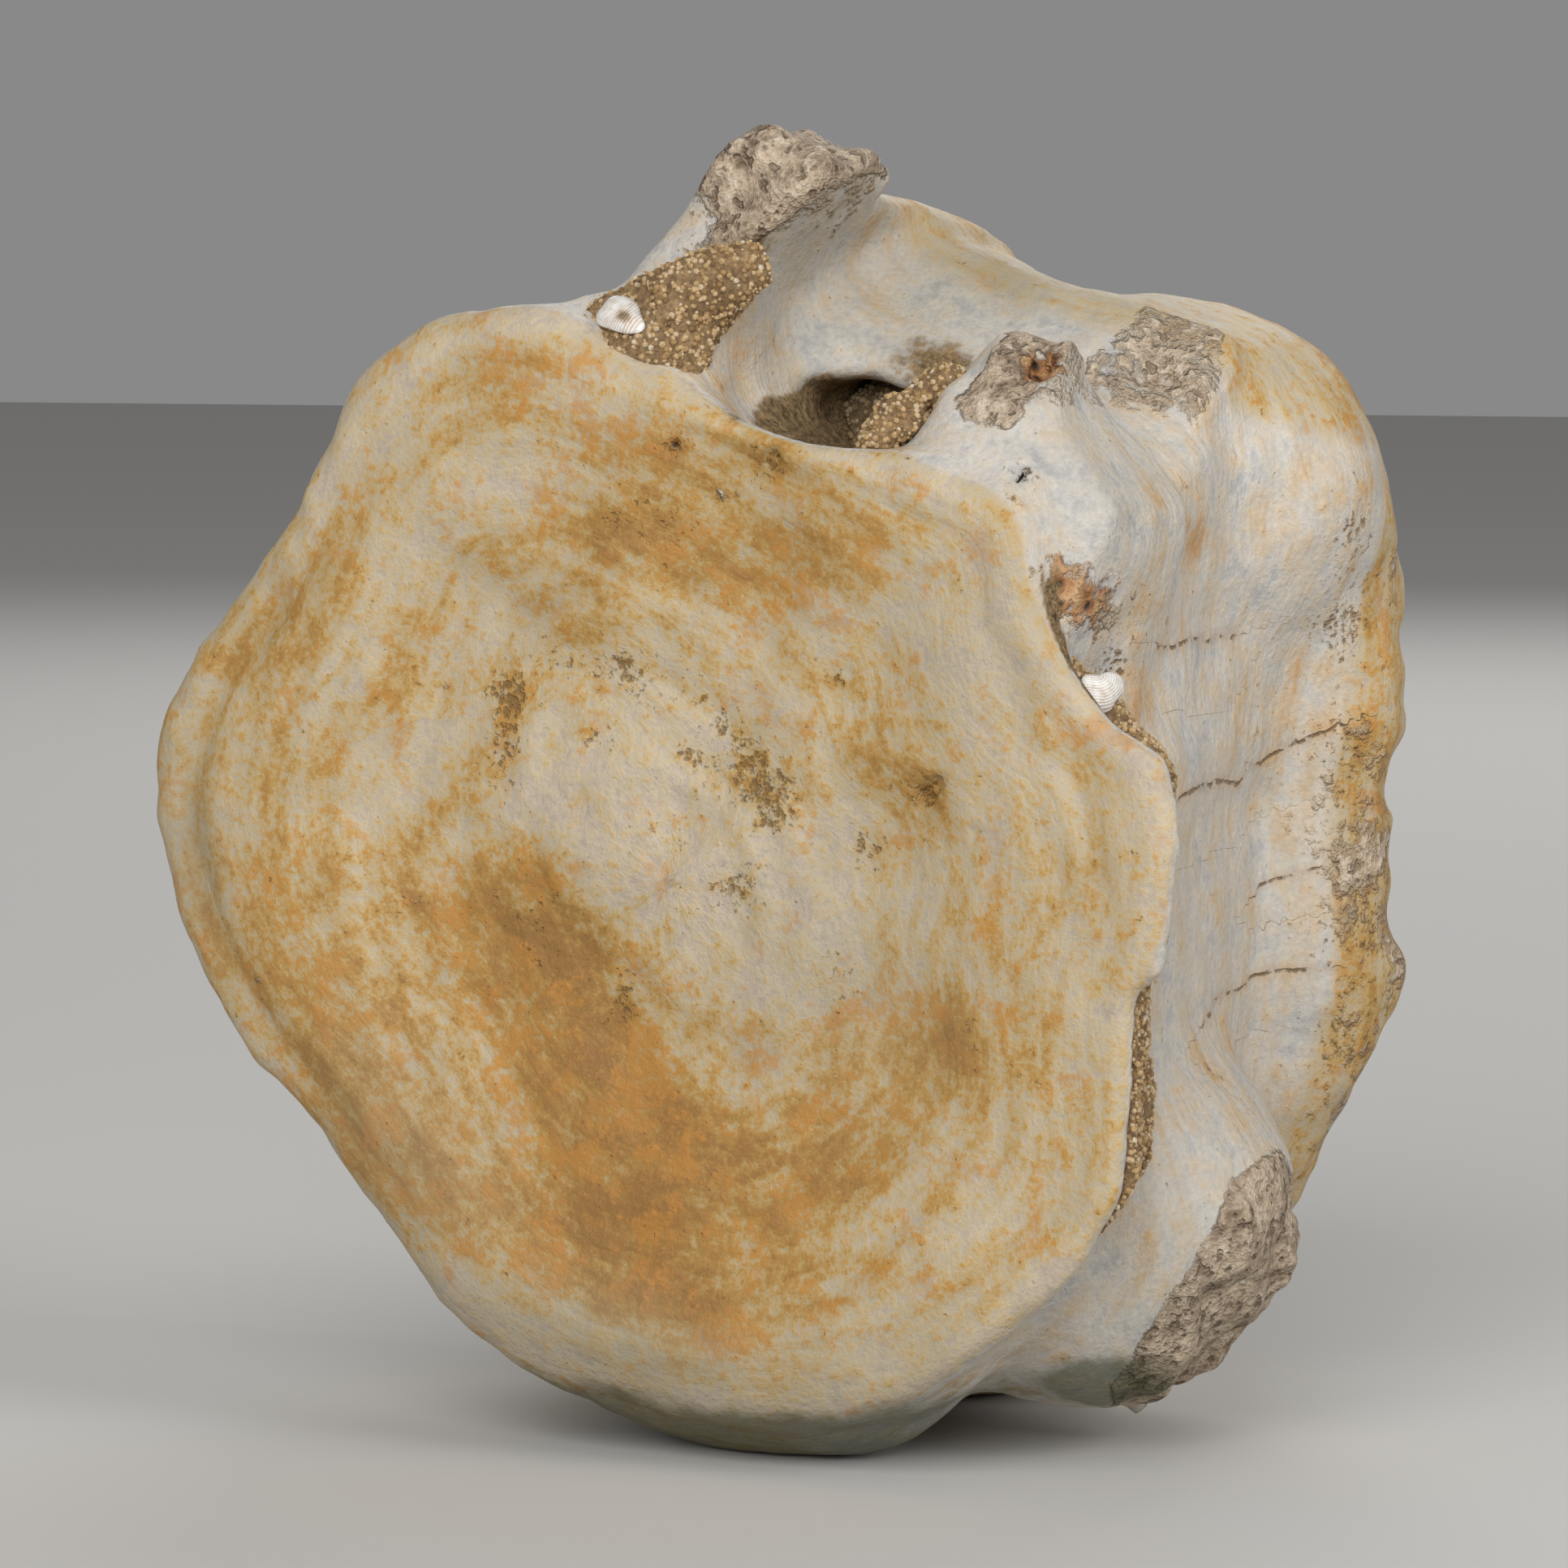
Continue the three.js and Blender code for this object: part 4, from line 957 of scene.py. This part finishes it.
def grain_nodes(material):
    """Scatters sand grains over a surface and joins them to it."""
    tree = bpy.data.node_groups.new("sand_grains", "GeometryNodeTree")
    inputs = {"Geometry": "Geometry", "Density": "Float", "Size": "Float", "Seed": "Int"}
    for name, kind in inputs.items():
        tree.interface.new_socket(name, in_out="INPUT", socket_type="NodeSocket" + kind)
    tree.interface.new_socket("Geometry", in_out="OUTPUT", socket_type="NodeSocketGeometry")
    given = add(tree, "NodeGroupInput").outputs
    scatter = add(tree, "GeometryNodeDistributePointsOnFaces", Mesh=given["Geometry"],
                  Density=given["Density"], Seed=given["Seed"])
    ball = add(tree, "GeometryNodeMeshIcoSphere", Radius=1, Subdivisions=1)
    chance = "FunctionNodeRandomValue"
    size = add(tree, chance, {"data_type": "FLOAT"}, _2=0.5, _3=1.25, Seed=given["Seed"])
    spin = add(tree, chance, {"data_type": "FLOAT_VECTOR"}, _0=(0, 0, 0), _1=(6.28, 6.28, 6.28),
               Seed=given["Seed"])
    grains = add(tree, "GeometryNodeInstanceOnPoints", Points=scatter.outputs["Points"],
                 Instance=ball.outputs["Mesh"], Rotation=spin.outputs[0],
                 Scale=times(tree, size.outputs[1], given["Size"]))
    # each grain keeps a number that its colour is taken from
    index = add(tree, "GeometryNodeInputIndex").outputs[0]
    shade = add(tree, chance, {"data_type": "FLOAT"}, _2=0.03, _3=1, ID=index)
    marked = add(tree, "GeometryNodeStoreNamedAttribute",
                 {"data_type": "FLOAT", "domain": "INSTANCE"},
                 Geometry=grains.outputs[0], Name="grain", Value=shade.outputs[1])
    real = add(tree, "GeometryNodeRealizeInstances", Geometry=marked.outputs[0])
    join_up = add(tree, "GeometryNodeJoinGeometry")
    tree.links.new(real.outputs[0], join_up.inputs[0])
    tree.links.new(given["Geometry"], join_up.inputs[0])
    finish = add(tree, "GeometryNodeSetMaterial", Geometry=join_up.outputs[0], Material=material)
    out = tree.nodes.new("NodeGroupOutput")
    tree.links.new(finish.outputs[0], out.inputs[0])
    return tree


sand = sand_material()
grain_tree = grain_nodes(sand)
socket = {s.name: s.identifier for s in grain_tree.interface.items_tree if s.in_out == "INPUT"}
for node, field, low, high, seed in (
    ("corner_sediment", corner_matrix, (-21, 25, -21), (-4, 40, -9), 3),
    ("canal_sediment", canal_matrix, (-9, 22, -20), (9, 37, 18), 4),
    ("rim_sediment", rim_matrix, (16, -30, -20), (38, 32, -8), 5),
):
    points, faces = skin(field, low, high, SAND_CELL)
    body = piece(node + "_body", points, faces, sand)
    # painted shade, deeper in the canal, for the sand's material to read
    stain(body, "deep_shade", step(-9, -3, points[:, 2]))
    scatter = body.modifiers.new("grains", "NODES")
    scatter.node_group = grain_tree
    scatter[socket["Density"]] = GRAIN_DENSITY
    scatter[socket["Size"]] = GRAIN_RADIUS
    scatter[socket["Seed"]] = seed
    grown = body.evaluated_get(bpy.context.evaluated_depsgraph_get())
    mesh = bpy.data.meshes.new_from_object(grown)
    made = bpy.data.objects.new(node.replace("sediment", "sand"), mesh)
    bpy.data.objects.remove(body)
    bpy.context.scene.collection.objects.link(made)
    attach(made, "root")
    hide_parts(node)

# ---- The shell chips
# Two flakes broken from sea shells and caught in the matrix. Each is white and slightly domed,
# with growth lines about its hinge and worn edges, and one has a brown hollow in its middle.


def shell_material():
    made, tree, shader, where = new_material("shell")
    growth, hollow = kept(tree, "growth"), kept(tree, "hollow")
    fine = noise(tree, where, 1800, 3, 0.6)
    line = calc(tree, "SINE", sum_of(tree, (growth, 36), (fine, 3)))
    tone = sum_of(tree, 0.24, (line, 0.13), (fine, 0.8), (hollow, -0.7))
    colour = colours(
        tree, tone,
        (0.1, (0.2, 0.13, 0.07)), (0.38, (0.48, 0.38, 0.28)), (0.55, (0.66, 0.6, 0.53)),
        (0.72, (0.78, 0.76, 0.73)), (1, (0.86, 0.86, 0.85)),
    )
    gloss = sum_of(tree, 0.2, (fine, 0.3))
    finish_material(tree, shader, colour, gloss, strength=0.25, distance=0.0001, height=line)
    return made


def flake(name, chip, outline, hollow, material):
    """A domed flake: an uneven outline, ridged by growth about its hinge, with a thin edge."""
    length, width, thick = chip["size"]
    facing = Vector(chip["facing"]).normalized()
    aside = Vector((0, 0, 1)) if abs(facing.z) < 0.8 else Vector((0, 1, 0))
    across = facing.cross(aside).normalized()
    along = across.cross(facing)
    rings, spokes = 12, 48
    sunk = 0.2  # into the matrix, in millimetres
    points, growth, worn, faces = [], [], [], []
    for side in (1, -1):
        for i in range(rings + 1):
            for j in range(spokes):
                at = 2 * math.pi * j / spokes
                reach = float(ring(outline, np.array(math.degrees(at)))) * i / rings
                x, y = reach * math.cos(at) * length / 2, reach * math.sin(at) * width / 2
                dome = 0.25 * (1 - reach**2) + 0.5 * thick * side * (1 - 0.85 * (i / rings) ** 3)
                dome += 0.12 * float(lumps(*(np.array(c) for c in (x, y, 0)), 0.9, 71))
                hinge = math.hypot(x + length * 0.6, y)
                lift = 0.006 * math.sin(hinge * 21) if side > 0 else 0
                middle = Vector(chip["centre"]) + across * x + along * y
                points.append((middle + facing * (dome + lift - sunk))[:])
                growth.append(hinge)
                apart = ((x - 0.2 * length) / 0.55) ** 2 + ((y + 0.05) / 0.38) ** 2
                worn.append(hollow * math.exp(-apart))
    layer = (rings + 1) * spokes
    for k, order in ((0, 1), (layer, -1)):
        for i in range(rings):
            for j in range(spokes):
                n = (j + 1) % spokes
                this, out = k + i * spokes, k + (i + 1) * spokes
                faces.append([this + j, this + n, out + n, out + j][::order])
    top, bottom = rings * spokes, layer + rings * spokes
    for j in range(spokes):
        n = (j + 1) % spokes
        faces.append([top + j, top + n, bottom + n, bottom + j])
    made = piece(name, np.array(points), np.array(faces), material)
    stain(made, "growth", np.array(growth))
    stain(made, "hollow", np.array(worn))
    # the points of each middle run together as one
    body = bmesh.new()
    body.from_mesh(made.data)
    bmesh.ops.remove_doubles(body, verts=body.verts, dist=1e-6)
    bmesh.ops.recalc_face_normals(body, faces=body.faces)
    body.to_mesh(made.data)
    body.free()
    return made


# their outlines: angle, and reach as a share of half the length or width
CORNER_OUTLINE = [
    (0, 1.05), (40, 0.85), (85, 1), (130, 1.1), (175, 0.9), (225, 1.1), (270, 0.85), (320, 0.95),
]
RIM_OUTLINE = [
    (0, 1), (40, 0.8), (80, 1.1), (120, 1.15), (165, 0.75), (200, 0.95), (235, 0.75), (275, 1.1),
    (320, 1.05),
]
shell = shell_material()
for name, chip, outline, hollow in (
    ("corner_shell_chip", CORNER_CHIP, CORNER_OUTLINE, 1),
    ("rim_shell_chip", RIM_CHIP, RIM_OUTLINE, 0),
):
    made = flake(name.replace("chip", "flake"), chip, outline, hollow, shell)
    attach(made, "root")
    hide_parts(name)

# ---- The studio
# A plain pale table under a large soft lamp in front of it, with a weaker one to the right, one
# behind and a dim even light all round.

LOOKED_AT = Vector((0.001272, -0.000737, 0.0396))
AZIMUTH, ELEVATION = math.radians(27), math.radians(4)  # round to the right of the front, and up
DISTANCE = 0.45
SENSOR, LENS = 36, 36 * 9000 / 1932  # millimetres
ROOM_LIGHT = 0.25
LAMPS = [  # name, place, watts, metres across
    ("key", (0.22, -0.95, 0.5), 9.9, 0.7),
    ("fill", (0.95, -0.15, 0.45), 4.6, 0.5),
    ("rear", (-0.2, 0.8, 0.6), 3, 0.6),
]

bpy.ops.mesh.primitive_plane_add(size=6, location=(0, 0, 0))
floor = bpy.context.object
floor.name = "floor"
paper = bpy.data.materials.new("pale_paper")
paper.use_nodes = True
paper_shader = paper.node_tree.nodes["Principled BSDF"]
paper_shader.inputs["Base Color"].default_value = (0.55, 0.54, 0.52, 1)
paper_shader.inputs["Roughness"].default_value = 0.9
floor.data.materials.append(paper)

across, forward = math.sin(AZIMUTH) * math.cos(ELEVATION), math.cos(AZIMUTH) * math.cos(ELEVATION)
towards = Vector((across, -forward, math.sin(ELEVATION)))
camera = bpy.data.objects.new("camera", bpy.data.cameras.new("camera"))
bpy.context.scene.collection.objects.link(camera)
camera.data.lens, camera.data.sensor_width = LENS, SENSOR
camera.location = LOOKED_AT + DISTANCE * towards
camera.rotation_euler = towards.to_track_quat("Z", "Y").to_euler()
bpy.context.scene.camera = camera

for name, place, watts, size in LAMPS:
    lamp = bpy.data.lights.new(name, "AREA")
    lamp.energy, lamp.size = watts, size
    made = bpy.data.objects.new(name, lamp)
    bpy.context.scene.collection.objects.link(made)
    made.location = place
    made.rotation_euler = (Vector(place) - LOOKED_AT).to_track_quat("Z", "Y").to_euler()
room = bpy.data.worlds.new("room")
room.use_nodes = True
air = room.node_tree.nodes["Background"]
air.inputs["Color"].default_value = (1, 1, 1, 1)
air.inputs["Strength"].default_value = ROOM_LIGHT
bpy.context.scene.world = room
bpy.context.scene.view_settings.view_transform = "Standard"
